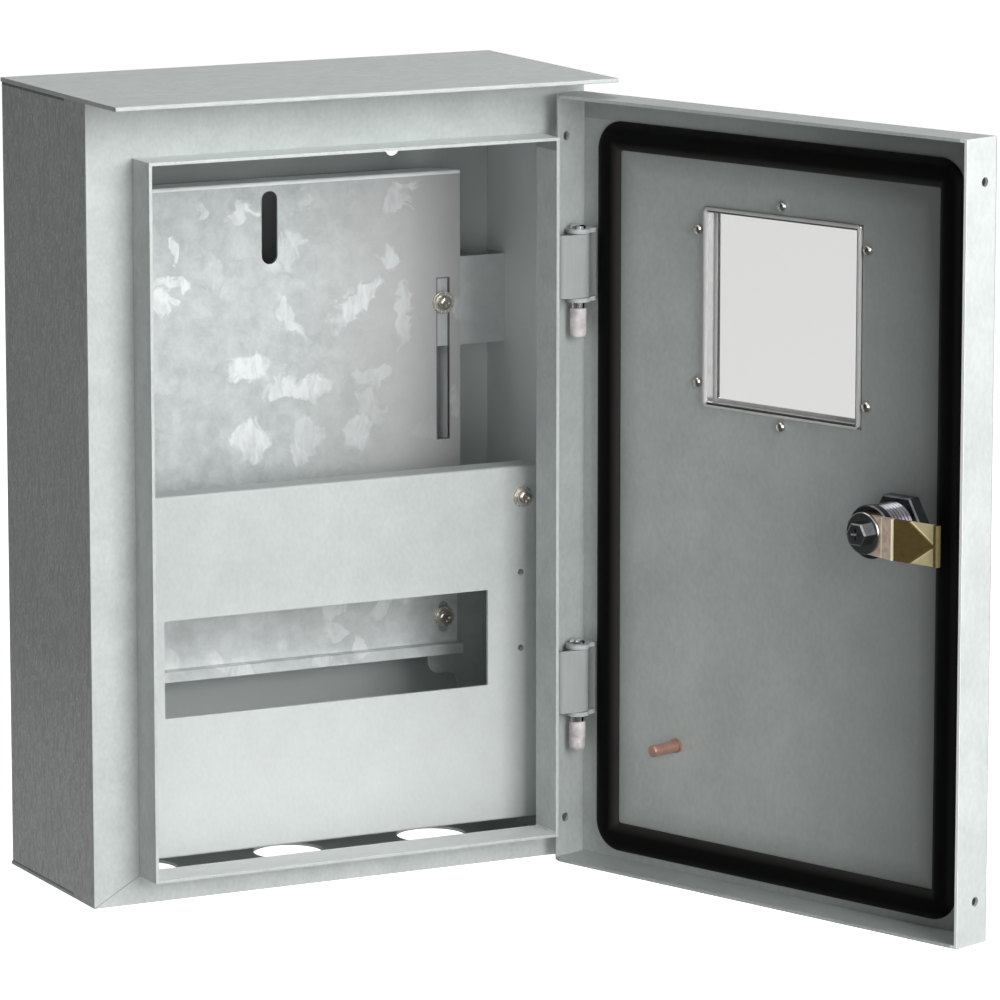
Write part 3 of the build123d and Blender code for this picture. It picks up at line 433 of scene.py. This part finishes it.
# hot-dip zinc: a mottled sheet with pale crystals
def spangleFinish(name, low, high, flake, scale, rare, strength, push=1.0, onPlate=False):
    material, shader, root = openFinish(name, {"Specular IOR Level": 0.4})
    place = placeOn(root)
    bent = warpOn(root, warpOn(root, place, 70, 0.018 * push), 260, 0.0075 * push)
    gently = warpOn(root, place, 70, 0.006 * push)
    cell = root.node("ShaderNodeTexVoronoi", {"feature": "F1"}, {"Vector": bent, "Scale": scale}, out="Color")
    chance = root.node("ShaderNodeSeparateColor", sockets={"Color": cell})
    blob = rampOn(cell.also("Distance"), [(0.44, 1.0), (0.60, 0.0)])
    bright = rampOn(chance, [(rare, 0.0), (rare + 0.1, 1.0)]) * blob * strength
    if onPlate:
        bright = plateCrystals(bent, bright)
    combed = root.node("ShaderNodeMapping", sockets={
        "Vector": gently, "Rotation": (0, 0.6, 0), "Scale": (1, 1, 0.3)})
    worn = rampOn(noiseOn(root, combed, 330, 2.0, 0.6), [(0.3, 0.4), (0.6, 1.0)])
    fine = rampOn(noiseOn(root, gently, 95, 5.0, 0.72), [(0.34, 0.0), (0.66, 1.0)])
    ground = blendOn(chance.also(1) * 0.25 + fine * 0.75, rgba(low), rgba(high))
    metallic = 0.25 - bright * 0.15
    if onPlate:
        # the sheet darker toward the right
        toRight = root.node("ShaderNodeSeparateXYZ", sockets={0: bent}) * 5 + 0.5
        ground = blendOn(rampOn(toRight, [(0.62, 0.0), (0.95, 0.85)]), ground, rgba(plate["darkened"]))
    colour = blendOn(bright * worn, ground, rgba(flake))
    if onPlate:
        x, z = spotOn(root)[::2]
        # painted light on the top fold
        folded = z > plate["fold"]
        colour = blendOn(folded, colour, rgba(plate["foldPaintedLight"]))
        # painted shadow lines round the side slots
        colour = blendOn(slotLines(x, z) * 0.8, colour, rgba(plate["slotShadow"]))
        metallic = metallic * (1 - folded)
    feed(shader, {
        "Base Color": colour,
        "Roughness": 0.42 + fine * 0.1 - bright * 0.05,
        "Metallic": metallic,
        "Normal": bumpOn(noiseOn(root, place, 300, 1.0), 0.05, 0.0003),
    })
    return material


# plated or turned metal with faint marks
def metalFinish(name, low, high, rough, metal=1.0):
    material, shader, root = openFinish(name, {"Metallic": metal})
    mark = noiseOn(root, placeOn(root), 900, 3.0, 0.6)
    cloud = noiseOn(root, placeOn(root), 160, 2.0)
    tint = rampOn(cloud * 0.6 + mark * 0.4, [(0.3, 0.0), (0.7, 1.0)])
    feed(shader, {
        "Base Color": blendOn(tint, rgba(low), rgba(high)),
        "Roughness": rough + mark * 0.12,
        "Normal": bumpOn(mark, 0.03, 0.0002),
    })
    return material


# marbled plastic of the hinge pins' grips
def gripFinish(name, low, high, scale):
    material, shader, root = openFinish(name, {"Specular IOR Level": 0.4})
    pore = noiseOn(root, placeOn(root), scale, 3.0, 0.6)
    swirl = warpOn(root, placeOn(root), scale * 0.3, 0.004)
    cloud = rampOn(noiseOn(root, swirl, scale * 0.3, 3.0), [(0.35, 0.0), (0.65, 1.0)])
    feed(shader, {
        "Base Color": blendOn(cloud, rgba(low), rgba(high)),
        "Roughness": 0.2 + pore * 0.12,
        "Normal": bumpOn(pore, 0.08, 0.0003),
    })
    return material


# foam seal: black along its crown, its slopes a little paler as painted light
def foamFinish(name, crown, inside, outside):
    material, shader, root = openFinish(name, {"Specular IOR Level": 0.08})
    u, z = alongDoor(root, (seal["midU"], sealMidZ, 0))[:2]
    pore = noiseOn(root, placeOn(root), 700, 3.0, 0.6)
    across = beyondSeal(u, z) * (1000 / seal["width"])  # 0 at the inner edge, 1 at the outer
    colour = blendOn(rampOn(across, [(0.0, 1.0), (0.3, 0.0)]), rgba(crown), rgba(inside))
    feed(shader, {
        "Base Color": blendOn(rampOn(across, [(0.72, 0.0), (1.0, 1.0)]), colour, rgba(outside)),
        "Roughness": 0.5 + pore * 0.12,
        "Normal": bumpOn(pore, 0.1, 0.0003),
    })
    return material


# lock barrel and the latch plate on it, in mm: u and z from the barrel's axis, heights are v
barrel = {
    "u": 199.5, "z": -1.5, "from": 8.1, "to": 21.6,
    "pitch": 2.2, "root": 11.02, "crest": 11.7, "sunk": 0.3,
}
latch = {
    "foot": 26.8, "hubTop": 29.8, "bevelTop": 28.9, "cornerTop": 28.0, "hubR": 9.4, "top": 8.3, "low": -10.7,
    "hubLine": 10.0, "hubLineHalf": 0.3, "bend": 16.0, "bendLineHalf": 0.45,
    "flat": 25.8, "point": 40.2, "rollU": 40.6, "rollR": 1.4,
    "bendRun": 1.2, "bevelRun": 0.9, "trim": 0.02, "columns": 150, "rows": 44,
}
latchMid, latchHalf = (latch["top"] + latch["low"]) / 2, (latch["top"] - latch["low"]) / 2


# latch plate: coppery hub; painted reflections: dark bevel narrowing to a point, dark roll, pale corners;
# painted highlights at the bends
def latchFinish(name, tones):
    material, shader, root = openFinish(name, {"Specular IOR Level": 0.5})
    u, z = alongDoor(root, (barrel["u"], barrel["z"], 0))[:2]
    cloud = rampOn(noiseOn(root, placeOn(root), 420, 3.0, 0.6), [(0.3, 0.0), (0.7, 1.0)])
    hub = u < latch["bend"] * mm
    rolled = u > (latch["rollU"] - latch["rollR"]) * mm
    narrowing = latchHalf / (latch["point"] - latch["flat"])
    bevel = abs(z - latchMid * mm) < (latch["point"] * mm - u) * narrowing
    bendLine = abs(u - latch["bend"] * mm) < latch["bendLineHalf"] * mm
    hubLine = abs(u - latch["hubLine"] * mm) < latch["hubLineHalf"] * mm
    bevelTone = blendOn(cloud, rgba(tones["bevel"]), shaded(tones["bevel"], 1.25))
    colour = blendOn(bevel, rgba(tones["corner"]), bevelTone)
    colour = blendOn(rolled, colour, rgba(tones["roll"]))
    colour = blendOn(hub, colour, blendOn(cloud, rgba(tones["hub"]), rgba(tones["hubLight"])))
    feed(shader, {
        "Base Color": blendOn(bendLine + hubLine, colour, rgba(tones["paintedHighlight"])),
        "Metallic": 0.15 + bevel * (1 - hub) * 0.5 + rolled * 0.6,
        "Roughness": 0.24 + cloud * 0.03,
        "Normal": bumpOn(cloud, 0.01, 0.0002),
    })
    return material


# window seal: dark against the pane, grey above a level on v
def sealFinish(name, low, high, level):
    material, shader, root = openFinish(name, {"Specular IOR Level": 0.4})
    pore = noiseOn(root, placeOn(root), 500, 2.0)
    above = alongDoor(root, (0, 0, level))[2] > 0.0
    feed(shader, {
        "Base Color": blendOn(above * (0.8 + pore * 0.4), rgba(low), rgba(high)),
        "Roughness": 0.35 + pore * 0.15,
    })
    return material


# bead on the window's sleeve, in mm
bead = {
    "midU": 125.3, "midZ": 86.0, "halfU": 46.7, "halfZ": 45.8, "corner": 1.6, "cornerSteps": 6,
    "v": 2.5, "radius": 1.28, "steps": 12, "innerFrom": 0.25, "hingeSide": 2.0,
}


# bead: pale, with painted shade on its inner side but for the hinge side
def beadFinish(name, low, high, paintedShade):
    material, shader, root = openFinish(name, {"Specular IOR Level": 0.8})
    u, z = alongDoor(root, (bead["midU"], bead["midZ"], 0))[:2]
    cloud = noiseOn(root, placeOn(root), 150, 2.0)
    reach = root.maths("MAXIMUM", abs(u) - bead["halfU"] * mm, abs(z) - bead["halfZ"] * mm)
    inner = (reach < -bead["innerFrom"] * mm) * (u > (bead["hingeSide"] - bead["halfU"]) * mm)
    feed(shader, {
        "Base Color": blendOn(inner, blendOn(cloud, rgba(low), rgba(high)), rgba(paintedShade)),
        "Roughness": 0.16 + cloud * 0.1,
    })
    return material


# clear pane with a faint grey cast
def paneFinish(name, tint):
    material, shader, root = openFinish(name, {
        "Base Color": rgba(tint), "Transmission Weight": 1.0, "IOR": 1.15, "Specular IOR Level": 0.2})
    haze = noiseOn(root, placeOn(root), 35, 2.0)
    feed(shader, {"Roughness": 0.02 + haze * 0.02})
    return material


coatLow, coatHigh = (0.505, 0.538, 0.527), (0.582, 0.62, 0.606)
finish = {
    "coat": paintFinish("coatGrey", coatLow, coatHigh),
    "cover": paintFinish("coatGreyCover", coatLow, coatHigh, tone=coverTone),
    "frame": paintFinish("coatGreyFront", (0.50, 0.535, 0.525), (0.63, 0.67, 0.655), cloudScale=75,
                         tone=frontTone),
    "wall": hammerFinish("coatGreySides", (0.50, 0.52, 0.515), (0.775, 0.795, 0.79)),
    "roof": paintFinish("coatGreyRoof", (0.52, 0.55, 0.54), (0.61, 0.64, 0.63), grainScale=330,
                        grainStretch=(0.4, 1, 1), cloudShare=0.3, skin=0.7, skinDepth=0.0008),
    "door": paintFinish("coatGreyDoor", (0.425, 0.459, 0.45), (0.548, 0.585, 0.573), cloudScale=34,
                        grainScale=420, skin=0.12, specular=0.9, rough=0.32, tone=doorTone),
    # hinge leaves: the same coat, made darker as painted shade
    "leaf": paintFinish("coatGreyHinge", (0.375, 0.402, 0.393), (0.44, 0.472, 0.46),
                        grainStretch=(1, 1, 0.05), grainScale=700),
    "zincSheet": spangleFinish("zincSheet", (0.405, 0.443, 0.438), (0.615, 0.65, 0.645),
                               (0.83, 0.86, 0.86), scale=60, rare=0.84, strength=0.4, onPlate=True),
    "zincRail": spangleFinish("zincRail", (0.535, 0.57, 0.565), (0.72, 0.755, 0.75),
                              (0.84, 0.87, 0.865), scale=80, rare=0.62, strength=0.8, push=0.4),
    "zincPlain": spangleFinish("zincPlain", (0.54, 0.575, 0.57), (0.62, 0.655, 0.65),
                               (0.68, 0.71, 0.705), scale=60, rare=0.8, strength=0.4),
    # rail brackets: the zinc again, darker as painted shade
    "zincShade": spangleFinish("zincShade", (0.36, 0.385, 0.38), (0.44, 0.47, 0.465),
                               (0.50, 0.53, 0.525), scale=60, rare=0.8, strength=0.5),
    "yellowZinc": metalFinish("yellowZinc", (0.60, 0.56, 0.47), (0.88, 0.85, 0.78), 0.2, metal=0.6),
    "screwZinc": metalFinish("screwZinc", (0.44, 0.40, 0.34), (0.84, 0.80, 0.73), 0.16, metal=0.9),
    "chrome": metalFinish("chromePlate", (0.60, 0.60, 0.62), (0.80, 0.80, 0.82), 0.05),
    "lockChrome": metalFinish("lockChrome", (0.10, 0.10, 0.11), (0.22, 0.22, 0.24), 0.12),
    "darkSteel": metalFinish("darkSteel", (0.30, 0.30, 0.31), (0.46, 0.46, 0.47), 0.1),
    # latch: painted reflections on the bevel, roll and corners, painted highlights along the bends
    "brass": latchFinish("latchBrass", {
        "corner": (0.80, 0.70, 0.40), "bevel": (0.26, 0.19, 0.07), "roll": (0.24, 0.19, 0.08),
        "hub": (0.50, 0.38, 0.30), "hubLight": (0.78, 0.64, 0.52), "paintedHighlight": (0.98, 0.90, 0.66)}),
    "copper": metalFinish("studCopper", (0.50, 0.27, 0.215), (0.66, 0.39, 0.32), 0.3, metal=0.6),
    "rivet": metalFinish("rivetAluminium", (0.62, 0.58, 0.52), (0.88, 0.86, 0.82), 0.1),
    "foam": foamFinish("sealFoam", (0.003, 0.003, 0.003), (0.034, 0.032, 0.031), (0.018, 0.018, 0.018)),
    "paneSeal": sealFinish("paneSeal", (0.06, 0.065, 0.065), (0.52, 0.515, 0.515), -3.7),
    "bezel": metalFinish("bezelGrey", (0.62, 0.62, 0.625), (0.74, 0.73, 0.735), 0.16),
    "bead": beadFinish("beadGrey", (0.54, 0.535, 0.535), (0.63, 0.625, 0.625), (0.03, 0.03, 0.03)),
    "grip": gripFinish("gripPale", (0.56, 0.51, 0.51), (0.86, 0.81, 0.81), 620),
    "pane": paneFinish("clearPane", (0.72, 0.72, 0.715)),
}

nodeFinish = {
    "shell": "wall", "front_frame": "frame", "roof": "roof", "bottom_plate": "coat", "cover": "cover",
    "door_pan": "door", "hinge_leaf_upper": "leaf", "hinge_leaf_lower": "leaf",
    "hinge_bracket_upper": "coat", "hinge_bracket_lower": "coat",
    "meter_plate": "zincSheet", "din_rail": "zincRail",
    "plate_bracket_left": "zincPlain", "plate_bracket_right": "zincPlain",
    "cover_angle_left": "zincPlain", "cover_angle_right": "zincPlain",
    "rail_bracket_left": "zincShade", "rail_bracket_right": "zincShade",
    "plate_screws": "screwZinc", "plate_washers": "yellowZinc", "cover_screws": "screwZinc",
    "cover_washers": "yellowZinc", "rail_screws": "screwZinc", "rail_washers": "yellowZinc",
    "hinge_pin_upper": "chrome", "hinge_pin_lower": "chrome",
    "hinge_grip_upper": "grip", "hinge_grip_lower": "grip",
    "door_gasket": "foam", "window_seal": "paneSeal", "window_frame": "bezel", "window_pane": "pane",
    "window_rivets": "rivet", "lock_housing": "lockChrome", "lock_nut": "lockChrome",
    "lock_rotor": "lockChrome", "lock_washer": "lockChrome", "lock_cam": "brass",
    "lock_cam_screw": "darkSteel", "earth_stud": "copper",
}
for node, solid in frame["nodes"].items():
    solid.data.materials.clear()
    solid.data.materials.append(finish[nodeFinish[node]])
print("finishes laid on", len(frame["nodes"]), "nodes")


# a mesh piece that rides on a body; edges bent by more than keepSharp degrees stay sharp
def addPiece(name, points, faces, finishName, body, keepSharp=None):
    mesh = bpy.data.meshes.new(name)
    mesh.from_pydata(points, [], faces)
    work = bmesh.new()
    work.from_mesh(mesh)
    bmesh.ops.remove_doubles(work, verts=work.verts, dist=1e-7)
    bmesh.ops.recalc_face_normals(work, faces=work.faces)
    for face in work.faces:
        face.smooth = True
    for edge in work.edges:
        if keepSharp and len(edge.link_faces) == 2 and edge.calc_face_angle(0) > math.radians(keepSharp):
            edge.smooth = False
    work.to_mesh(mesh)
    work.free()
    piece = bpy.data.objects.new(name, mesh)
    scene.collection.objects.link(piece)
    mesh.materials.append(finish[finishName])
    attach(piece, body)
    return piece


# turned shape: rings of (radius, v) about an axis through (u, z) on the door
def turnOnDoor(profile, u, z, steps, points, faces):
    rings = []
    for radius, v in profile:
        if radius < 1e-6:
            rings.append([len(points)])
            points.append(onDoor(u, z, v))
            continue
        ring = []
        for k in range(steps):
            angle = 2 * math.pi * k / steps
            ring.append(len(points))
            points.append(onDoor(u + radius * math.cos(angle), z + radius * math.sin(angle), v))
        rings.append(ring)
    for low, high in zip(rings, rings[1:]):
        for k in range(steps):
            n = k + 1
            loop = [low[k % len(low)], low[n % len(low)], high[n % len(high)], high[k % len(high)]]
            faces.append(tuple(dict.fromkeys(loop)))


# rounded rectangle on the door, as (u, z, outward angle)
def roundedPath(midU, midZ, halfU, halfZ, radius, steps):
    path = []
    for sideU, sideZ, start in ((1, 1, 0), (-1, 1, 90), (-1, -1, 180), (1, -1, 270)):
        for k in range(steps + 1):
            angle = math.radians(start + 90 * k / steps)
            path.append((midU + sideU * (halfU - radius) + radius * math.cos(angle),
                         midZ + sideZ * (halfZ - radius) + radius * math.sin(angle), angle))
    return path


# quads between rings of points that follow each other; closed joins the last ring to the first
def ringFaces(rings, count, closed):
    faces = []
    for row in range(rings if closed else rings - 1):
        here, after = row * count, (row + 1) % rings * count
        for k in range(count):
            n = (k + 1) % count
            faces.append((here + k, here + n, after + n, after + k))
    return faces


# foam seal: one section carried round a rounded rectangle
points = []
for inset, height in seal["section"]:
    halfU = seal["halfU"] + seal["width"] / 2 - inset
    halfZ = (seal["top"] - seal["bottom"]) / 2 + seal["width"] / 2 - inset
    radius = max(seal["outerR"] - inset, seal["innerR"])
    ring = roundedPath(seal["midU"], sealMidZ, halfU, halfZ, radius, seal["cornerSteps"])
    points += [onDoor(u, z, doorShut["sheet"] + height) for u, z, _ in ring]
faces = ringFaces(len(seal["section"]), len(ring), closed=True)
foamSeal = addPiece("foamSeal", points, faces, "foam", "door", keepSharp=50)
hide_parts("door_gasket")

# blind rivets: rounded tail with the broken mandrel inside, low head with its bore outside
rivets = {
    "midU": bead["midU"], "midZ": bead["midZ"], "rim": -3.0, "steps": 28,
    "spots": [(-51.5, 36), (-51.5, -36), (51.5, 36), (51.5, -36), (0, 51.2), (0, -51.2)],
    "tail": [(0, 1.2), (2.4, 1.2), (2.6, 1.6), (2.65, 2.2), (2.5, 2.9), (2.05, 3.5), (1.4, 3.85), (0.8, 3.93),
             (0.7, 3.95), (0, 4.0)],
    "head": [(0, 0.3), (3.1, 0.3), (3.2, 0.0), (3.05, -0.5), (2.4, -1.0), (1.4, -1.2), (0.95, -1.2),
             (0.85, -0.7), (0, -0.7)],
}
points, faces = [], []
rivetHead = [(radius, rivets["rim"] + v) for radius, v in rivets["head"]]
for du, dz in rivets["spots"]:
    for profile in (rivets["tail"], rivetHead):
        turnOnDoor(profile, rivets["midU"] + du, rivets["midZ"] + dz, rivets["steps"], points, faces)
blindRivets = addPiece("blindRivets", points, faces, "rivet", "door", keepSharp=55)
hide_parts("window_rivets")

# thread on the lock's barrel, between the nut and the stop washer
thread = {"crestFrom": 0.42, "crestTo": 0.58, "gap": 0.05, "steps": 56}
turns = int((barrel["to"] - barrel["from"]) / barrel["pitch"])
sunk = barrel["root"] - barrel["sunk"]  # ends inside the barrel
profile = [(sunk, barrel["from"])]
for k in range(turns):
    v = barrel["from"] + k * barrel["pitch"]
    profile += [(barrel["root"], v + thread["gap"]),
                (barrel["crest"], v + thread["crestFrom"] * barrel["pitch"]),
                (barrel["crest"], v + thread["crestTo"] * barrel["pitch"]),
                (barrel["root"], v + barrel["pitch"] - thread["gap"])]
profile.append((sunk, barrel["from"] + turns * barrel["pitch"]))
points, faces = [], []
turnOnDoor(profile, barrel["u"], barrel["z"], thread["steps"], points, faces)
addPiece("barrelThread", points, faces, "lockChrome", "door", keepSharp=30)


# latch plate as a height field over its outline: hub, bend, bevel, corners and rolled tip
def latchEdge(u):
    if u < 0:
        reach = math.sqrt(max(latch["hubR"] ** 2 - u * u, 0.01))
        return -reach, min(reach, latch["top"])
    share = min(u / latch["bend"], 1.0)
    return -latch["hubR"] + (latch["low"] + latch["hubR"]) * share, latch["top"]


def clamp(share):
    return min(max(share, 0.0), 1.0)


def latchHeight(u, z):
    inside = latchHalf * (latch["point"] - u) / (latch["point"] - latch["flat"]) - abs(z - latchMid)
    bevel = clamp(inside / latch["bevelRun"] + 0.5)
    level = latch["cornerTop"] + (latch["bevelTop"] - latch["cornerTop"]) * bevel
    towardHub = clamp((latch["bend"] - u) / latch["bendRun"] + 0.5)
    level += (latch["hubTop"] - level) * math.sin(towardHub * math.pi / 2)
    off = abs(u - latch["rollU"])
    if off < latch["rollR"]:
        roll = latch["foot"] + latch["rollR"] + math.sqrt(latch["rollR"] ** 2 - off * off)
        level = max(level, roll) if u < latch["rollU"] else roll
    return level


points, faces = [], []
firstU, lastU = -latch["hubR"] + latch["trim"], latch["rollU"] + latch["rollR"] - latch["trim"]
across = latch["rows"] + 1
for onTop in (False, True):
    for k in range(latch["columns"] + 1):
        u = firstU + (lastU - firstU) * k / latch["columns"]
        low, high = latchEdge(u)
        for m in range(across):
            z = low + (high - low) * m / latch["rows"]
            v = latchHeight(u, z) if onTop else latch["foot"]
            points.append(onDoor(barrel["u"] + u, barrel["z"] + z, v))
sheetPoints = (latch["columns"] + 1) * across
for k in range(latch["columns"]):
    for m in range(latch["rows"]):
        a = k * across + m
        for base in (0, sheetPoints):
            faces.append((base + a, base + a + 1, base + a + across + 1, base + a + across))
    for m in (0, latch["rows"]):
        a = k * across + m
        faces.append((a, a + across, sheetPoints + a + across, sheetPoints + a))
for k in (0, latch["columns"]):
    for m in range(latch["rows"]):
        a = k * across + m
        faces.append((a, a + 1, sheetPoints + a + 1, sheetPoints + a))
latchPlate = addPiece("latchPlate", points, faces, "brass", "lock", keepSharp=40)
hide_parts("lock_cam")

# rounded bead on the inner end of the window's sleeve
points = []
path = roundedPath(bead["midU"], bead["midZ"], bead["halfU"], bead["halfZ"],
                   bead["corner"], bead["cornerSteps"])
for u, z, angle in path:
    for k in range(bead["steps"]):
        turn = 2 * math.pi * k / bead["steps"]
        out, up = bead["radius"] * math.cos(turn), bead["radius"] * math.sin(turn)
        points.append(onDoor(u + out * math.cos(angle), z + out * math.sin(angle), bead["v"] + up))
faces = ringFaces(len(path), bead["steps"], closed=True)
addPiece("sleeveBead", points, faces, "bead", "door")

# grips under the hinge pins, round at the foot: (radius, drop from the level of the hinge) in mm
grip = {
    "level": 99.6, "steps": 36,
    "profile": [(0, -20.4), (3.5, -20.4), (3.9, -20.6), (4.0, -21.1), (4.0, -32.0), (3.8, -33.0),
                (3.3, -33.8), (2.5, -34.3), (1.5, -34.5), (0, -34.5)],
}
pinX, pinY = hinge["pos_m"][:2]
for node, level in (("hinge_grip_upper", grip["level"]), ("hinge_grip_lower", -grip["level"])):
    points = []
    for radius, drop in grip["profile"]:
        for k in range(grip["steps"]):
            angle = 2 * math.pi * k / grip["steps"]
            points.append((pinX + radius * mm * math.cos(angle), pinY + radius * mm * math.sin(angle),
                           (level + drop) * mm))
    faces = ringFaces(len(grip["profile"]), grip["steps"], closed=False)
    gripPiece = addPiece(node + "_round", points, faces, "grip", "door")
    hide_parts(node)
print("seal, rivets, lock, bead and grips made")

# studio: floor below, white surroundings, big soft lamps
studio = {
    "floorDrop": 0.06, "floorSize": 10.0, "floorColour": (0.85, 0.85, 0.85), "floorGlow": 0.95,
    "floorMirrored": (0.12, 0.12, 0.12), "aim": (0.05, -0.12, 0),
    "ambient": 0.01, "brightSide": (0.53, -0.53, 0.66), "darkest": 0.05,
    "lamps": {
        "key": {"at": (0.8, -2.85, 1.16), "size": 2.0, "power": 75},
        "top": {"at": (0.0, 0.5, 2.6), "size": 1.7, "power": 30},
        "fill": {"at": (-1.5, -2.55, 0.2), "size": 1.6, "power": 11.5},
        "low": {"at": (0.3, -2.8, 0.0), "size": 1.4, "power": 14},
        "side": {"at": (2.4, -1.4, 0.7), "size": 1.4, "power": 25},
    },
}


def addLamp(name, setting):
    lamp = bpy.data.lights.new(name, "AREA")
    lamp.shape = "SQUARE"
    lamp.size = setting["size"]
    lamp.energy = setting["power"]
    holder = bpy.data.objects.new(name, lamp)
    scene.collection.objects.link(holder)
    holder.location = setting["at"]
    aim = Vector(studio["aim"]) - holder.location
    holder.rotation_euler = aim.to_track_quat("-Z", "Y").to_euler()


for name, setting in studio["lamps"].items():
    addLamp(name + "Lamp", setting)

# white room for the camera; its left and back are dark in reflections
world = bpy.data.worlds.new("whiteRoom")
scene.world = world
world.use_nodes = True
room = Wire(world.node_tree)
seenByCamera = room.node("ShaderNodeLightPath", out="Is Camera Ray")
straight = room.maths("MINIMUM", seenByCamera + seenByCamera.also("Is Transmission Ray"), 1.0)
toward = room.node("ShaderNodeTexCoord", out="Generated")
facing = room.node("ShaderNodeVectorMath", {"operation": "DOT_PRODUCT"},
                   {0: toward, 1: Vector(studio["brightSide"]).normalized()}, out="Value")
brightness = rampOn(facing * 0.5 + 0.5, [(0.38, studio["darkest"]), (0.72, 1.0)])
mirrored = brightness * seenByCamera.also("Is Glossy Ray")
backdrop = world.node_tree.nodes["Background"]
backdrop.inputs["Color"].default_value = (1, 1, 1, 1)
feed(backdrop, {
    "Strength": room.maths("MAXIMUM", straight, room.maths("MAXIMUM", mirrored, studio["ambient"])),
})

floorMesh = bpy.data.meshes.new("floor")
half = studio["floorSize"] / 2
floorZ = cadBox[0][2] - studio["floorDrop"]
corners = [(-half, -half, floorZ), (half, -half, floorZ), (half, half, floorZ), (-half, half, floorZ)]
floorMesh.from_pydata(corners, [], [(0, 1, 2, 3)])
floor = bpy.data.objects.new("floor", floorMesh)
scene.collection.objects.link(floor)
floorFinish, floorShader, floorRoot = openFinish("floorWhite", {
    "Roughness": 0.9, "Specular IOR Level": 0.0, "Emission Strength": studio["floorGlow"]})
onFloor = floorRoot.node("ShaderNodeLightPath", out="Is Camera Ray")
feed(floorShader, {
    "Base Color": blendOn(onFloor.also("Is Glossy Ray"),
                          rgba(studio["floorColour"]), rgba(studio["floorMirrored"])),
    "Emission Color": onFloor.maths("MINIMUM", onFloor + onFloor.also("Is Transmission Ray"), 1.0),
})
floorMesh.materials.append(floorFinish)
print("studio set")

camera = bpy.data.cameras.new("shot")
camera.lens = shot["lens"]
camera.sensor_width = shot["sensor"]
camera.sensor_fit = "HORIZONTAL"
cameraHolder = bpy.data.objects.new("shot", camera)
scene.collection.objects.link(cameraHolder)
cameraHolder.location = shot["eye"]
cameraHolder.rotation_euler = shotTurn
scene.camera = cameraHolder
